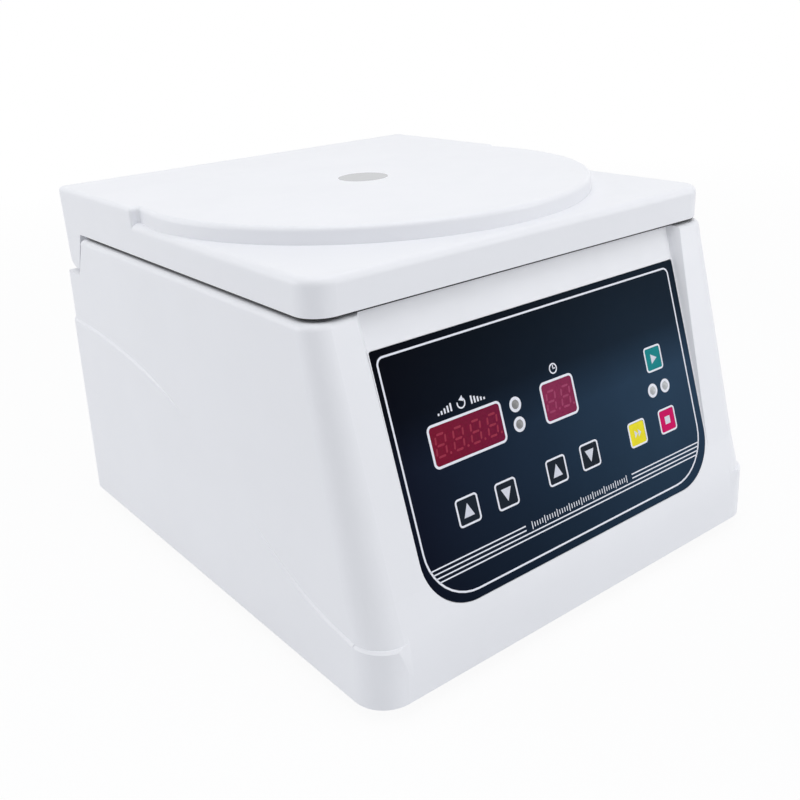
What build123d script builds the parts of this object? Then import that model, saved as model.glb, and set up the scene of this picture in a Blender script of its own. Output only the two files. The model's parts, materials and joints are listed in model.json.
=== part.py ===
from build123d import *
import os
from math import atan2, cos, degrees, pi, radians, sin, tan

os.makedirs("parts", exist_ok=True)

# A bench centrifuge for two microplates.  Millimetres, +Z up, the front faces -Y.
# The origin is on the bench, under the middle of the overall box.

# ---------------------------------------------------------------- driving dimensions

# Housing moulding
overall_depth = 356.0       # front of the plinth to the back of the lid
plinth_width = 319.6
body_height = 194.5         # lower edge to deck
deck_width = 304.0
shoulder_width = 315.6      # flanks at the top of the upright nose
skirt_width = 309.7         # proud lower flank, measured at skirt_height
skirt_height = 150.0
ledge_height = 34.5         # top of the proud lower part at the front
nose_height = 27.0          # upright part of the front
plinth_corner = 20.0
corner_low = 19.0
corner_high = 12.0
rear_corner = 3.0           # upright edges at the back
back_inset = 1.3            # housing back, ahead of the lid back
wall = 3.0
deck_round = 4.0
panel_tilt = 17.2           # degrees from upright
cheek_tilt = 14.7
recess_width = 239.0
flare_width = 9.0           # the recess opens out in a curve towards the cheeks' faces
flare_depth = 8.0
nose_round = 80.0           # soft bend between the upright and the slanted front
crease_slope = 1.2          # fall of the crease's soft bevel
fade_back = 90.0            # behind this the lower flank is flat
fade_deepest = (-24.0, -60.0)
fade_front = -135.0         # and in front of this again
fade_depth = 2.6            # of the swell in which the crease dies out, at skirt_height
ledge_fade_start = 136.0    # half width over which the front has no ledge
ledge_fade_end = 150.0

# Feet and base
foot_height = 8.0
foot_radius = 15.0
foot_side_inset = 37.8      # middle of a foot, in from the plinth's side
foot_end_inset = 40.0       # and in from the front or the back
pan_gauge = 1.5
pan_rim = 12.0
boss_radius = 5.0
boss_height = 24.0

# Lid
lid_width = 300.0
lid_setback = 45.3          # behind the front of the plinth
lid_gap = 2.3
lid_skirt = 19.6
lid_crown = 9.8
lid_corner = 15.0
lid_rear_corner = 5.0
lid_edge_round = 4.5
crown_inset = 2.5           # the round crown, in from the lid's sides
crown_shoulder = 32.8       # behind the rotor axis, where the crown becomes as wide as the lid
crown_round = 3.0
notch_round = 2.0
ear_width = 12.0
rear_skirt_drop = 9.8       # lid's back wall below its side walls
window_radius = 16.4
window_gauge = 3.0

# Hinge
hinge_setback = 14.7        # axis, ahead of the lid back
hinge_drop = 13.8           # axis, below the lid's lower edge
ear_radius = 12.4
ear_reach = 14.8            # axis to the front edge of the ear, at the lid's lower edge
ear_slant = 26.0            # degrees from upright
ear_tip_round = 3.0
ear_clearance = 1.5         # housing, outside the ear's round end
step_front_gap = 3.7        # rear step's wall, ahead of the ears
step_clearance = 2.5        # and its floor, below them
pin_radius = 3.0
running_gap = 0.05
bracket_gauge = 3.0

# Chamber
chamber_front_gap = 50.2    # behind the lid's front face
chamber_back_gap = 9.3      # ahead of the rear step
chamber_floor = 88.0        # above the housing's lower edge
bowl_gauge = 1.2
bowl_corner = 12.0
rim_width = 5.3
seal_height = 2.9
guard_gauge = 3.0
guard_height = 68.0

# Drive
motor_radius = 42.0
motor_height = 51.5
motor_grooves = 18
motor_plate_margin = 12.0   # beyond the middles of the dampers
motor_plate_gauge = 4.0
damper_height = 17.0
damper_radius = 11.0
damper_waist = 8.0
damper_pitch = 48.0
shaft_radius = 6.0
stud_radius = 4.0
bearing_radius = 16.0
bearing_width = 10.0

# Rotor for two plates standing on edge
plate_length = 127.76
plate_breadth = 85.48
plate_gap = 0.6
pocket_depth = 22.0
pocket_reach = 0.422        # axis to the inner face of a pocket, as a share of the chamber's radius
rotor_wall = 2.5
rotor_floor = 6.0
cradle_height = 76.0

# Control panel
overlay_width = 237.0
overlay_length = 142.0
overlay_gauge = 0.8
overlay_top = 174.1         # above the housing's lower edge
overlay_corner_low = 31.0
overlay_corner_high = 1.5
key_size = 14.0
key_travel = 0.5
speed_window_size = (51.5, 19.5)
time_window_size = (27.5, 22.6)
lamp_radius = 2.5
board_depth = 9.6           # panel surface to control board
board_gauge = 1.6
board_side_inset = 11.5     # control board, in from the overlay's sides
board_height = 84.0
board_at = (1.0, 74.0)
standoff_inset = 6.0        # in from the control board's edges

# Places on the panel: across from the middle, and down the slope from the overlay's top edge
speed_window_at = (-69.2, 59.8)
time_window_at = (0.8, 55.5)
lamps_at = [(-33.2, 51.0), (-33.2, 62.3), (78.1, 74.2), (90.0, 74.2)]
keys_at = {
    "key_speed_up": (-81.3, 95.6),
    "key_speed_down": (-53.2, 96.3),
    "key_time_up": (-13.8, 96.0),
    "key_time_down": (14.1, 95.8),
    "key_start": (84.0, 55.7),
    "key_stop": (85.8, 95.7),
    "key_mode": (57.0, 95.6),
}

# Latch
striker_setback = 24.7      # behind the lid's front face
latch_bolt_radius = 3.0
latch_stroke = 12.0

# Rear panel
rear_opening = (220.0, 120.0)
rear_opening_height = 22.0
rear_gauge = 1.2
inlet_x = 56.0
switch_x = 94.0
fuse_x = 18.0
rear_row = 30.0             # inlet, switch and fuse, above the opening's lower edge
rocker_throw = 18.0

# ---------------------------------------------------------------- derived places

front = -overall_depth / 2
rear = overall_depth / 2
lid_front = front + lid_setback
body_back = rear - back_inset
base_z = foot_height
nose_z = base_z + nose_height
ledge_z = base_z + ledge_height
deck_z = base_z + body_height
under_deck = deck_z - wall
lid_z = deck_z + lid_gap
lid_low_top = lid_z + lid_skirt
lid_top = lid_low_top + lid_crown
hinge_y = rear - hinge_setback
hinge_z = lid_z - hinge_drop
step_y = hinge_y - ear_reach - step_front_gap
step_z = hinge_z - ear_radius - step_clearance
chamber_radius = (step_y - chamber_back_gap - lid_front - chamber_front_gap) / 2
axis_y = lid_front + chamber_front_gap + chamber_radius
plinth_half = plinth_width / 2
deck_half = deck_width / 2
recess_half = recess_width / 2
lid_half = lid_width / 2
crown_radius = lid_half - crown_inset
tilt = radians(panel_tilt)
cheek = radians(cheek_tilt)
# height at which the panel plane and the cheek plane cross
meet_z = (lid_front - front + nose_z * tan(tilt) - deck_z * tan(cheek)) / (tan(tilt) - tan(cheek))


def panel_y(z):
    """Front-to-back place of the control panel's plane at height z."""
    return front + (z - nose_z) * tan(tilt)


def cheek_y(z):
    """The same for the front faces of the two cheeks, which end level with the lid."""
    return lid_front - (deck_z - z) * tan(cheek)


# ---------------------------------------------------------------- helpers

def block(x0, x1, y0, y1, z0, z1):
    return Pos((x0 + x1) / 2, (y0 + y1) / 2, (z0 + z1) / 2) * Box(abs(x1 - x0), abs(y1 - y0), abs(z1 - z0))


def rod(radius, z0, z1, x=0.0, y=0.0):
    return Pos(x, y, (z0 + z1) / 2) * Cylinder(radius, z1 - z0)


def rod_x(radius, x0, x1, y, z):
    return Pos((x0 + x1) / 2, y, z) * Rot(0, 90, 0) * Cylinder(radius, abs(x1 - x0))


def rod_y(radius, y0, y1, x, z):
    return Pos(x, (y0 + y1) / 2, z) * Rot(90, 0, 0) * Cylinder(radius, abs(y1 - y0))


def rounded(width, depth, radius, rear_radius):
    """A rectangle seen from above, with one radius in front and another at the back."""
    outline = fillet(Rectangle(width, depth).vertices().group_by(Axis.Y)[0], radius)
    return fillet(outline.vertices().group_by(Axis.Y)[-1], rear_radius)


def slab(z, y0, y1, half_width, radius, rear_radius=rear_corner):
    """A level rounded rectangle at height z."""
    return Pos(0, (y0 + y1) / 2, z) * rounded(2 * half_width, y1 - y0, radius, rear_radius)


def side_profile(points, x0, x1):
    """A closed outline in the Y-Z plane, drawn out from x0 to x1."""
    root = Plane(origin=(x0, 0, 0), x_dir=(0, 1, 0), z_dir=(1, 0, 0))
    return extrude(root * make_face(Polyline(*points, close=True)), amount=x1 - x0)


def top_edges(solid):
    return solid.faces().sort_by(Axis.Z)[-1].edges()


def bottom_edges(solid):
    return solid.faces().sort_by(Axis.Z)[0].edges()


def save(node, *solids):
    shape = solids[0]
    if len(solids) > 1:
        shape = Compound(children=[Solid(each.solids()[0].wrapped) for each in solids])
    export_step(shape, f"parts/{node}.step")


# The panel's own frame: X across, Y up the slope, Z out of the surface
overlay_top_z = base_z + overlay_top
panel = Plane(
    origin=(0, panel_y(overlay_top_z), overlay_top_z),
    x_dir=(1, 0, 0),
    z_dir=(0, -cos(tilt), sin(tilt)),
)


def on_panel(place, depth=0.0):
    """A location at (across, down) on the panel, depth below its surface."""
    across, down = place
    return panel.location * Pos(across, -down, -depth)


def panel_block(place, size, depth0, depth1):
    """A block of the given face size between two depths below the panel's surface."""
    width, height = size
    return on_panel(place, (depth0 + depth1) / 2) * Box(width, height, depth1 - depth0)


def panel_rod(place, radius, depth0, depth1):
    return on_panel(place, (depth0 + depth1) / 2) * Cylinder(radius, depth1 - depth0)


# ---------------------------------------------------------------- housing

def flank_half(z):
    share = (z - nose_z) / (deck_z - nose_z)
    return (shoulder_width + (deck_width - shoulder_width) * share) / 2


def corner_at(z):
    share = (z - nose_z) / (deck_z - nose_z)
    return corner_low + (corner_high - corner_low) * share


def upper_body():
    """Slanted front, drafted flanks, upright back, rounded corners."""
    heights = [nose_z, meet_z, deck_z]
    fronts = [panel_y(nose_z), panel_y(meet_z), cheek_y(deck_z)]
    sections = [
        slab(z, y, body_back, flank_half(z), corner_at(z))
        for z, y in zip(heights, fronts)
    ]
    return loft(sections, ruled=True)


def body_form():
    """The upper body with the rear step that the hinge ears dip into."""
    whole = upper_body()
    step = block(-200, 200, step_y, 200, step_z, deck_z + 5)
    step = fillet(step.edges().filter_by(Axis.X).group_by(Axis.Z)[0].group_by(Axis.Y)[0], wall)
    form = fillet(top_edges(whole - step), deck_round)
    near = lid_half - ear_width - 0.5
    for x0, x1 in ((near, plinth_half), (-plinth_half, -near)):
        form += side_profile(step_wedge(), x0, x1) & whole
    return form


def step_wedge():
    """Fills the step's corner beside the ears, along a line that just clears their round ends."""
    lean = radians(ear_slant)
    low_y = hinge_y - (ear_radius + ear_clearance) / cos(lean) + (hinge_z - step_z) * tan(lean)
    high_z = step_z + (low_y - step_y) / tan(lean)
    under = step_z - 1
    return [(step_y, high_z), (step_y - 2, high_z), (step_y - 2, under), (low_y, under), (low_y, step_z)]


def recess_cut():
    """Room in front of the control panel, between the cheeks, with sides that flare outwards."""
    low = meet_z - 3
    high = deck_z + 9
    half = recess_half
    far = half + flare_width
    reach = 2 * flare_depth
    bend = (half + 0.3 * flare_width, flare_depth / 2)
    sides = [
        ThreePointArc((side * half, 0), (side * bend[0], bend[1]), (side * far, flare_depth)) for side in (-1, 1)
    ]
    outer = Polyline((-far, flare_depth), (-far, reach), (far, reach), (far, flare_depth))
    root = Plane(origin=(0, panel_y(high), high), x_dir=(1, 0, 0), z_dir=(0, -sin(tilt), -cos(tilt)))
    outline = make_face(sides + [outer, Line((-half, 0), (half, 0))])
    return extrude(root * outline, amount=(high - low) / cos(tilt))


def skirt_section(z, half, swell):
    """Level section of the lower part, its flanks drawn in by the swell between the fade's ends."""
    r = plinth_corner
    near = r * (1 - cos(pi / 4))
    c = rear_corner
    far = c * (1 - cos(pi / 4))
    dip = [(half, fade_back)] + [(half - swell, y) for y in fade_deepest] + [(half, fade_front)]
    flank = [
        ThreePointArc((half - c, body_back), (half - far, body_back - far), (half, body_back - c)),
        Line((half, body_back - c), (half, fade_back)),
        Spline(*dip, tangents=[(0, -1), (0, -1)]),
        Line((half, fade_front), (half, front + r)),
        ThreePointArc((half, front + r), (half - near, front + near), (half - r, front)),
    ]
    middle = [Line((half - r, front), (r - half, front)), Line((c - half, body_back), (half - c, body_back))]
    return Pos(0, 0, z) * make_face(flank + middle + [mirror(edge, Plane.YZ) for edge in flank])


def skirt_form():
    """The proud lower part, before it is trimmed under the crease."""
    low = skirt_section(base_z, plinth_half, 0)
    high = skirt_section(base_z + skirt_height, skirt_width / 2, fade_depth)
    return loft([low, high], ruled=True)


# The crease on each flank, from the back to the front: (place along Y, height above the lower edge)
crease_points = [(158, 129), (91, 123.8), (39, 113), (6, 99.7)]
crease_points += [(-81, 55.6), (-112, 43.1), (-145, 36), (-163, 34.3)]


def below_crease(side):
    """Everything under the crease on one flank, with the crease as a bevel that falls outwards."""
    inner = deck_half - wall
    lift = base_z + crease_slope * (flank_half(nose_z) - inner)
    places = [(rear + 20, crease_points[0][1])] + crease_points + [(front - 20, crease_points[-1][1])]
    curve = Spline(*[(y, z + lift) for y, z in places], tangents=[(-1, 0), (-1, 0)])
    low = base_z - 20
    lines = Polyline(curve @ 1, (places[-1][0], low), (places[0][0], low), curve @ 0)
    face = Plane(origin=(side * inner, 0, 0), x_dir=(0, 1, 0), z_dir=(1, 0, 0)) * make_face(curve + lines)
    outwards = Vector(side, 0, -crease_slope)
    reach = plinth_half - inner + 4
    return extrude(face, amount=reach * outwards.length, dir=outwards)


def nose_profile(high):
    """Side view of what is cut off in front of the slanted front, up to a height."""
    run = nose_round * tan(tilt / 2)
    lower = (front, nose_z - run)
    upper = (front + run * sin(tilt), nose_z + run * cos(tilt))
    bend = (front + nose_round * (1 - cos(tilt / 2)), nose_z - run + nose_round * sin(tilt / 2))
    edge = Polyline(upper, (panel_y(high), high), (front, high), lower)
    return make_face([ThreePointArc(lower, bend, upper), edge])


def nose_trim():
    """Makes the front one surface with a soft bend, fading out at the two corners."""
    root = Plane(origin=(-ledge_fade_start, 0, 0), x_dir=(0, 1, 0), z_dir=(1, 0, 0))
    cuts = [extrude(root * nose_profile(ledge_z), amount=2 * ledge_fade_start)]
    for side in (-1, 1):
        root = Plane(origin=(side * ledge_fade_start, 0, 0), x_dir=(0, 1, 0), z_dir=(1, 0, 0))
        cuts.append(loft([root * nose_profile(ledge_z), Vertex(side * ledge_fade_end, front, ledge_z)]))
    return cuts


def upper_void():
    """The hollow above the nose, flat sided, with rounded uprights inside the front corners."""
    inset = wall / cos(tilt)
    back = body_back - wall
    side_view = [
        (panel_y(nose_z) + inset, nose_z),
        (panel_y(under_deck) + inset, under_deck),
        (step_y - wall, under_deck),
        (step_y - wall, step_z - wall),
        (back, step_z - wall),
        (back, nose_z),
    ]
    low_half = flank_half(nose_z) - wall
    high_half = flank_half(under_deck) - wall
    front_view = [(-low_half, nose_z), (low_half, nose_z), (high_half, under_deck), (-high_half, under_deck)]
    facing = Plane(origin=(0, rear, 0), x_dir=(1, 0, 0), z_dir=(0, -1, 0))
    across = extrude(facing * make_face(Polyline(*front_view, close=True)), amount=overall_depth)
    form = side_profile(side_view, -shoulder_width, shoulder_width) & across
    uprights = [edge for edge in form.edges() if abs((edge @ 1 - edge @ 0).Z) > skirt_height]
    return fillet([edge for edge in uprights if edge.center().Y < 0], corner_low - wall)


def void_cuts():
    """The inside of the housing, open at the bottom."""
    floor = slab(base_z - 1, front + wall, body_back - wall, plinth_half - 2 * wall, plinth_corner - wall, 1)
    low = extrude(floor, amount=nose_height + 2)
    inset = wall / cos(cheek)
    top = under_deck
    pocket = [
        (cheek_y(meet_z) + inset, meet_z),
        (cheek_y(top) + inset, top),
        (panel_y(top) + 9, top),
        (panel_y(meet_z) + 9, meet_z),
    ]
    near = recess_half + flare_width
    far = deck_half - corner_high - wall
    pockets = [side_profile(pocket, near, far), side_profile(pocket, -far, -near)]
    return [low, upper_void()] + pockets


# Places shared by the housing and what is fixed to it
boss_x = plinth_half - 2 * wall - boss_radius + 1
base_screw_places = [(side * boss_x, y) for side in (-1, 1) for y in (-118.0, 24.0, 142.0)]
foot_x = plinth_half - foot_side_inset
foot_y = rear - foot_end_inset
foot_places = [(side * foot_x, end * foot_y) for side in (-1, 1) for end in (-1, 1)]
bowl_radius = chamber_radius + bowl_gauge
deck_hole_radius = bowl_radius + 0.3
striker_y = lid_front + striker_setback
slot_half_x = 4.0
slot_half_y = 8.0
opening_half = rear_opening[0] / 2
opening_low = base_z + rear_opening_height
opening_high = opening_low + rear_opening[1]
rear_screw_x = opening_half + 5
rear_screw_z = (opening_low + 6, opening_high - 6)
rear_screw_places = [(side * rear_screw_x, z) for side in (-1, 1) for z in rear_screw_z]
hinge_screw_places = [(side * 114.0, hinge_y + y) for side in (-1, 1) for y in (-10.0, 0.0)]
stem_radius = 2.0
well_margin = 0.5
board_width = overlay_width - 2 * board_side_inset
standoff_x = board_width / 2 - standoff_inset
standoff_v = board_height / 2 - standoff_inset
standoff_places = [(x, board_at[1] + end * standoff_v)
                   for x in (board_at[0] - standoff_x, 0.0, board_at[0] + standoff_x) for end in (-1, 1)]


def overlay_outline(margin=0.0):
    """Outline of the control film on the panel, square at the top and well rounded at the bottom."""
    half = overlay_width / 2 + margin
    long = overlay_length + margin
    face = make_face(Polyline((-half, margin), (half, margin), (half, -long), (-half, -long), close=True))
    corners = face.vertices().group_by(Axis.Y)
    face = fillet(corners[0], overlay_corner_low + margin)
    return fillet(face.vertices().group_by(Axis.Y)[-1], overlay_corner_high)


def panel_cuts():
    """The film's shallow pocket, windows, lamp holes, key wells and stem holes."""
    deep = 2 * wall
    cuts = [extrude(panel * overlay_outline(0.3), amount=-overlay_gauge)]
    cuts.append(panel_block(speed_window_at, speed_window_size, 0, deep))
    cuts.append(panel_block(time_window_at, time_window_size, 0, deep))
    cuts += [panel_rod(place, lamp_radius + 0.2, 0, deep) for place in lamps_at]
    well = key_size + 2 * well_margin
    for place in keys_at.values():
        cuts.append(panel_block(place, (well, well), 0, overlay_gauge + key_travel + 0.3))
        cuts.append(panel_rod(place, stem_radius + 0.5, 0, deep))
    return cuts


def rear_cuts():
    cuts = [block(-opening_half, opening_half, body_back - 2 * wall, rear + 1, opening_low, opening_high)]
    for x, z in rear_screw_places:
        cuts.append(rod_y(1.6, body_back - 2 * wall, rear, x, z))
        cuts.append(rod_y(3.1, body_back - 1.6, rear, x, z))
    return cuts


def make_housing():
    body = body_form() - recess_cut()
    skirt = skirt_form()
    corner_back = front + plinth_corner
    core = chamfer(top_edges(skirt & block(-200, 200, -200, 200, base_z, ledge_z)), 1.3)
    body += core - block(-200, 200, corner_back + 6, 200, nose_z, deck_z)
    flanks = skirt & block(-200, 200, corner_back, 200, base_z, deck_z)
    for side in (-1, 1):
        body += flanks & below_crease(side)
    body -= nose_trim()
    body -= void_cuts()
    for x, y in base_screw_places:
        body += rod(boss_radius, base_z + pan_gauge, base_z + boss_height, x, y)
        body -= rod(1.7, base_z, base_z + boss_height - 6, x, y)
    body -= rod(deck_hole_radius, under_deck - 1, deck_z + 1, 0, axis_y)
    slot_y0 = striker_y - slot_half_y
    slot_y1 = striker_y + slot_half_y
    body -= block(-slot_half_x, slot_half_x, slot_y0, slot_y1, under_deck - 1, deck_z + 1)
    body -= [rod(2.1, step_z - 2 * wall, step_z + 1, x, y) for x, y in hinge_screw_places]
    for cut in panel_cuts():
        body -= cut
    body += [panel_rod(place, 3.5, wall - 0.5, board_depth) for place in standoff_places]
    body -= [panel_rod(place, 1.2, wall + 1, board_depth + 1) for place in standoff_places]
    body -= rear_cuts()
    return body


# ---------------------------------------------------------------- base, feet and rear panel

pan_half = plinth_half - 2 * wall - 0.4
pan_front = front + wall + 0.4
pan_back = body_back - wall - 0.4
pan_top = base_z + pan_gauge


def make_base_pan():
    """Folded sheet steel: a flat floor with an upturned rim at the front and the back."""
    corner = plinth_corner - wall
    floor = extrude(slab(base_z, pan_front, pan_back, pan_half, corner, 1.5), amount=pan_gauge)
    rim_half = pan_half - corner - 2
    for y0, y1 in ((pan_front, pan_front + pan_gauge), (pan_back - pan_gauge, pan_back)):
        floor += block(-rim_half, rim_half, y0, y1, base_z, base_z + pan_rim)
    floor -= [rod(1.8, base_z - 1, pan_top + 1, x, y) for x, y in base_screw_places]
    floor -= [rod(2.1, base_z - 1, pan_top + 1, x, y) for x, y in foot_places]
    for row in range(7):
        y = -110 + 14 * row
        vent = SlotOverall(70, 5)
        floor -= extrude(Pos(0, y, base_z - 1) * vent, amount=pan_gauge + 2)
    return floor


foot_bore = 5.0


def make_foot(x, y):
    """Moulded rubber foot with a lipped tread and a deep screw recess."""
    body = rod(foot_radius, 0, foot_height, x, y)
    body = chamfer(top_edges(body), 3.0)
    body = chamfer(bottom_edges(body), 1.2)
    body -= rod(foot_bore, -1, foot_height - 3.5, x, y)
    return body - rod(2.05, -1, foot_height + 1, x, y)


def make_foot_screws():
    solids = []
    for x, y in foot_places:
        low = foot_height - 3.5
        head = chamfer(bottom_edges(rod(4.0, low - 2.4, low, x, y)), 0.8)
        solids.append(head + rod(2.0, low, pan_top + 5, x, y))
        nut = Pos(x, y, pan_top) * extrude(RegularPolygon(3.9, 6), amount=3.2)
        solids.append(nut - rod(2.05, pan_top - 1, pan_top + 6, x, y))
    return solids


def make_base_screws():
    solids = []
    for x, y in base_screw_places:
        head = chamfer(bottom_edges(rod(3.2, base_z - 2.0, base_z, x, y)), 0.7)
        solids.append(head + rod(1.6, base_z, base_z + 14, x, y))
    return solids


panel_back_face = body_back - wall           # outer face of the rear panel, inside the moulding
rear_row_z = opening_low + rear_row
inlet_size = (48.0, 24.0)
inlet_cut = (27.4, 20.0)
switch_cut = (19.0, 28.4)
fuse_radius = 6.2
fuse_length = 22.0
vent_count = 11
vent_pitch = 9.0


def make_rear_panel():
    """Sheet steel panel with louvre slots and the cut-outs for inlet, switch and fuse."""
    y1 = panel_back_face
    y0 = y1 - rear_gauge
    sheet = block(-opening_half - 10, opening_half + 10, y0, y1, opening_low - 8, opening_high + 8)
    sheet = fillet(sheet.edges().filter_by(Axis.Y), 4)
    sheet -= [rod_y(1.25, y0 - 1, y1 + 1, x, z) for x, z in rear_screw_places]
    for x, (width, height) in ((inlet_x, inlet_cut), (switch_x, switch_cut)):
        sheet -= Pos(x, y0, rear_row_z) * Box(width, 4, height)
    sheet -= rod_y(fuse_radius + 0.1, y0 - 1, y1 + 1, fuse_x, rear_row_z)
    vents = []
    for index in range(vent_count):
        x = -opening_half + 16 + vent_pitch * index
        slot = Plane(origin=(x, y0 - 1, (opening_low + opening_high) / 2), x_dir=(0, 0, 1), z_dir=(0, 1, 0))
        vents.append(extrude(slot * SlotOverall(76, 4), amount=rear_gauge + 2))
    return sheet - vents


def make_rear_screws():
    solids = []
    for x, z in rear_screw_places:
        head = rod_y(3.0, body_back - 1.5, body_back - 0.1, x, z)
        neck = rod_y(1.5, panel_back_face, body_back - 1.5, x, z)
        thread = rod_y(1.2, panel_back_face - 6, panel_back_face, x, z)
        solids.append(head + neck + thread)
    return solids


inlet_face = panel_back_face + 2.5
inlet_floor = inlet_face - 15.0
pin_places = [(-7.0, -2.0), (7.0, -2.0), (0.0, 2.0)]


def make_mains_inlet():
    """Appliance inlet: flange, body behind the panel and a cavity with two cut top corners."""
    width, height = inlet_size
    flange = block(inlet_x - width / 2, inlet_x + width / 2, panel_back_face, inlet_face,
                   rear_row_z - height / 2, rear_row_z + height / 2)
    flange = fillet(flange.edges().filter_by(Axis.Y), 4)
    z = rear_row_z
    body = block(inlet_x - 13.5, inlet_x + 13.5, inlet_floor - 6, panel_back_face, z - 9.8, z + 9.8)
    cavity = block(inlet_x - 12.2, inlet_x + 12.2, inlet_floor, inlet_face + 1, z - 8.2, z + 8.2)
    cavity = chamfer(cavity.edges().filter_by(Axis.Y).group_by(Axis.Z)[-1], 4.5)
    shell = flange + body - cavity
    for side in (-1, 1):
        x = inlet_x + side * 20
        shell -= rod_y(1.7, panel_back_face - 1, inlet_face + 1, x, rear_row_z)
        shell -= rod_y(3.0, inlet_face - 1.2, inlet_face + 1, x, rear_row_z)
    return shell


def make_inlet_pins():
    length = inlet_face - 1.5 - inlet_floor
    middle = inlet_floor + length / 2
    return [Pos(inlet_x + x, middle, rear_row_z + z) * Box(2, length, 4) for x, z in pin_places]


def make_fuse_holder():
    """Panel fuse carrier with a slotted cap."""
    body = rod_y(fuse_radius, panel_back_face - fuse_length, panel_back_face, fuse_x, rear_row_z)
    collar = rod_y(8.5, panel_back_face, panel_back_face + 1.2, fuse_x, rear_row_z)
    cap = rod_y(6.6, panel_back_face + 1.2, body_back - 0.3, fuse_x, rear_row_z)
    cap = chamfer(cap.edges().group_by(Axis.Y)[-1], 0.5)
    slot = block(fuse_x - 5, fuse_x + 5, body_back - 1.1, body_back, rear_row_z - 0.6, rear_row_z + 0.6)
    return body + collar + cap - slot


rocker_radius = 11.6
rocker_width = 13.2
rocker_cavity = (14.0, 24.0)
pivot_radius = 1.5
pivot_y = panel_back_face - 5.0
switch_face = panel_back_face + 1.8


def make_switch_frame():
    """Bezel and body of the mains switch, open at the back for the rocker."""
    z = rear_row_z
    bezel = block(switch_x - 10.8, switch_x + 10.8, panel_back_face, switch_face, z - 15.8, z + 15.8)
    bezel = fillet(bezel.edges().filter_by(Axis.Y), 1.5)
    body = block(switch_x - 9.4, switch_x + 9.4, pivot_y - 18, panel_back_face, z - 14.1, z + 14.1)
    width, height = rocker_cavity
    deep = switch_face - pivot_y + 9
    cavity = Pos(switch_x, switch_face + 1 - deep / 2, z) * Box(width, deep, height)
    pivot = rod_x(pivot_radius + running_gap, switch_x - 8.6, switch_x + 8.6, pivot_y, rear_row_z)
    return bezel + body - cavity - pivot


def make_rocker():
    """Two-position rocker on trunnions, shown at off: a shallow V over a round flank."""
    end_angle = radians(31)
    root = (rocker_radius * cos(radians(-20)), rocker_radius * sin(radians(-20)))
    tip = (rocker_radius * cos(end_angle), rocker_radius * sin(end_angle))
    flank = (rocker_radius, 0)
    right = ThreePointArc(root, flank, tip)
    left = ThreePointArc((-tip[0], tip[1]), (-flank[0], 0), (-root[0], root[1]))
    crown = Polyline(tip, (0, tip[1] - 1.8), (-tip[0], tip[1]))
    floor = Line((-root[0], root[1]), root)
    outline = make_face([right, crown, left, floor])
    end_x = switch_x - rocker_width / 2
    across = Plane(origin=(end_x, pivot_y, rear_row_z), x_dir=(0, 0, 1), z_dir=(-1, 0, 0))
    body = extrude(across * outline, amount=-rocker_width)
    body = Pos(0, pivot_y, rear_row_z) * Rot(-rocker_throw / 2, 0, 0) * Pos(0, -pivot_y, -rear_row_z) * body
    return body + rod_x(pivot_radius, switch_x - 8.3, switch_x + 8.3, pivot_y, rear_row_z)


# ---------------------------------------------------------------- chamber

floor_z = base_z + chamber_floor
rim_z = deck_z
rim_radius = bowl_radius + rim_width
seal_top = rim_z + bowl_gauge + seal_height
floor_hole_radius = 16.0
boot_bore = 9.0
motor_top = pan_top + damper_height + motor_plate_gauge + motor_height


def make_bowl():
    """Deep-drawn steel bowl with a flat rim that hangs on the deck."""
    outside = rod(bowl_radius, floor_z - bowl_gauge, rim_z, 0, axis_y)
    outside = fillet(bottom_edges(outside), bowl_corner + bowl_gauge)
    inside = rod(chamber_radius, floor_z, rim_z + 2 * bowl_gauge, 0, axis_y)
    inside = fillet(bottom_edges(inside), bowl_corner)
    rim = rod(rim_radius, rim_z, rim_z + bowl_gauge, 0, axis_y)
    return outside + rim - inside - rod(floor_hole_radius, floor_z - 3, floor_z + 3, 0, axis_y)


def make_seal():
    """Rubber rim seal with a lip down the inside of the bowl."""
    low = rim_z + bowl_gauge
    ring = rod(rim_radius, low, seal_top, 0, axis_y)
    ring = fillet(top_edges(ring), 1.4)
    lip = rod(chamber_radius - 0.1, rim_z - 6, low, 0, axis_y)
    return ring + lip - rod(chamber_radius - 1.4, rim_z - 7, seal_top + 1, 0, axis_y)


def make_guard_ring():
    low = floor_z + bowl_corner + 2
    outer = rod(bowl_radius + 0.15 + guard_gauge, low, low + guard_height, 0, axis_y)
    return outer - rod(bowl_radius + 0.15, low - 1, low + guard_height + 1, 0, axis_y)


def make_boot():
    """Rubber boot that closes the shaft's way through the bowl floor."""
    under = floor_z - bowl_gauge
    body = rod(boot_bore + 4, motor_top, under, 0, axis_y)
    body += rod(floor_hole_radius - 0.1, under - 2.0, floor_z + 1.5, 0, axis_y)
    body += rod(floor_hole_radius + 5, under - 2.0, under, 0, axis_y)
    body += rod(floor_hole_radius + 5, floor_z, floor_z + 1.5, 0, axis_y)
    return body - rod(boot_bore, motor_top - 1, floor_z + 3, 0, axis_y)


# ---------------------------------------------------------------- drive

damper_top = pan_top + damper_height
plate_top = damper_top + motor_plate_gauge
damper_places = [(sx * damper_pitch, axis_y + sy * damper_pitch) for sx in (-1, 1) for sy in (-1, 1)]
screw_pitch = damper_pitch / 2
motor_screw_places = [(sx * screw_pitch, axis_y + sy * screw_pitch) for sx in (-1, 1) for sy in (-1, 1)]
top_bearing_z = motor_top - bearing_width
low_bearing_z = plate_top + 3.5


def make_dampers():
    solids = []
    for x, y in damper_places:
        half = [(0, pan_top), (damper_radius, pan_top), (damper_waist, (pan_top + damper_top) / 2)]
        half += [(damper_radius, damper_top), (0, damper_top)]
        solids.append(Pos(x, y, 0) * revolve(Plane.XZ * make_face(Polyline(*half, close=True)), Axis.Z))
    return solids


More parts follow.
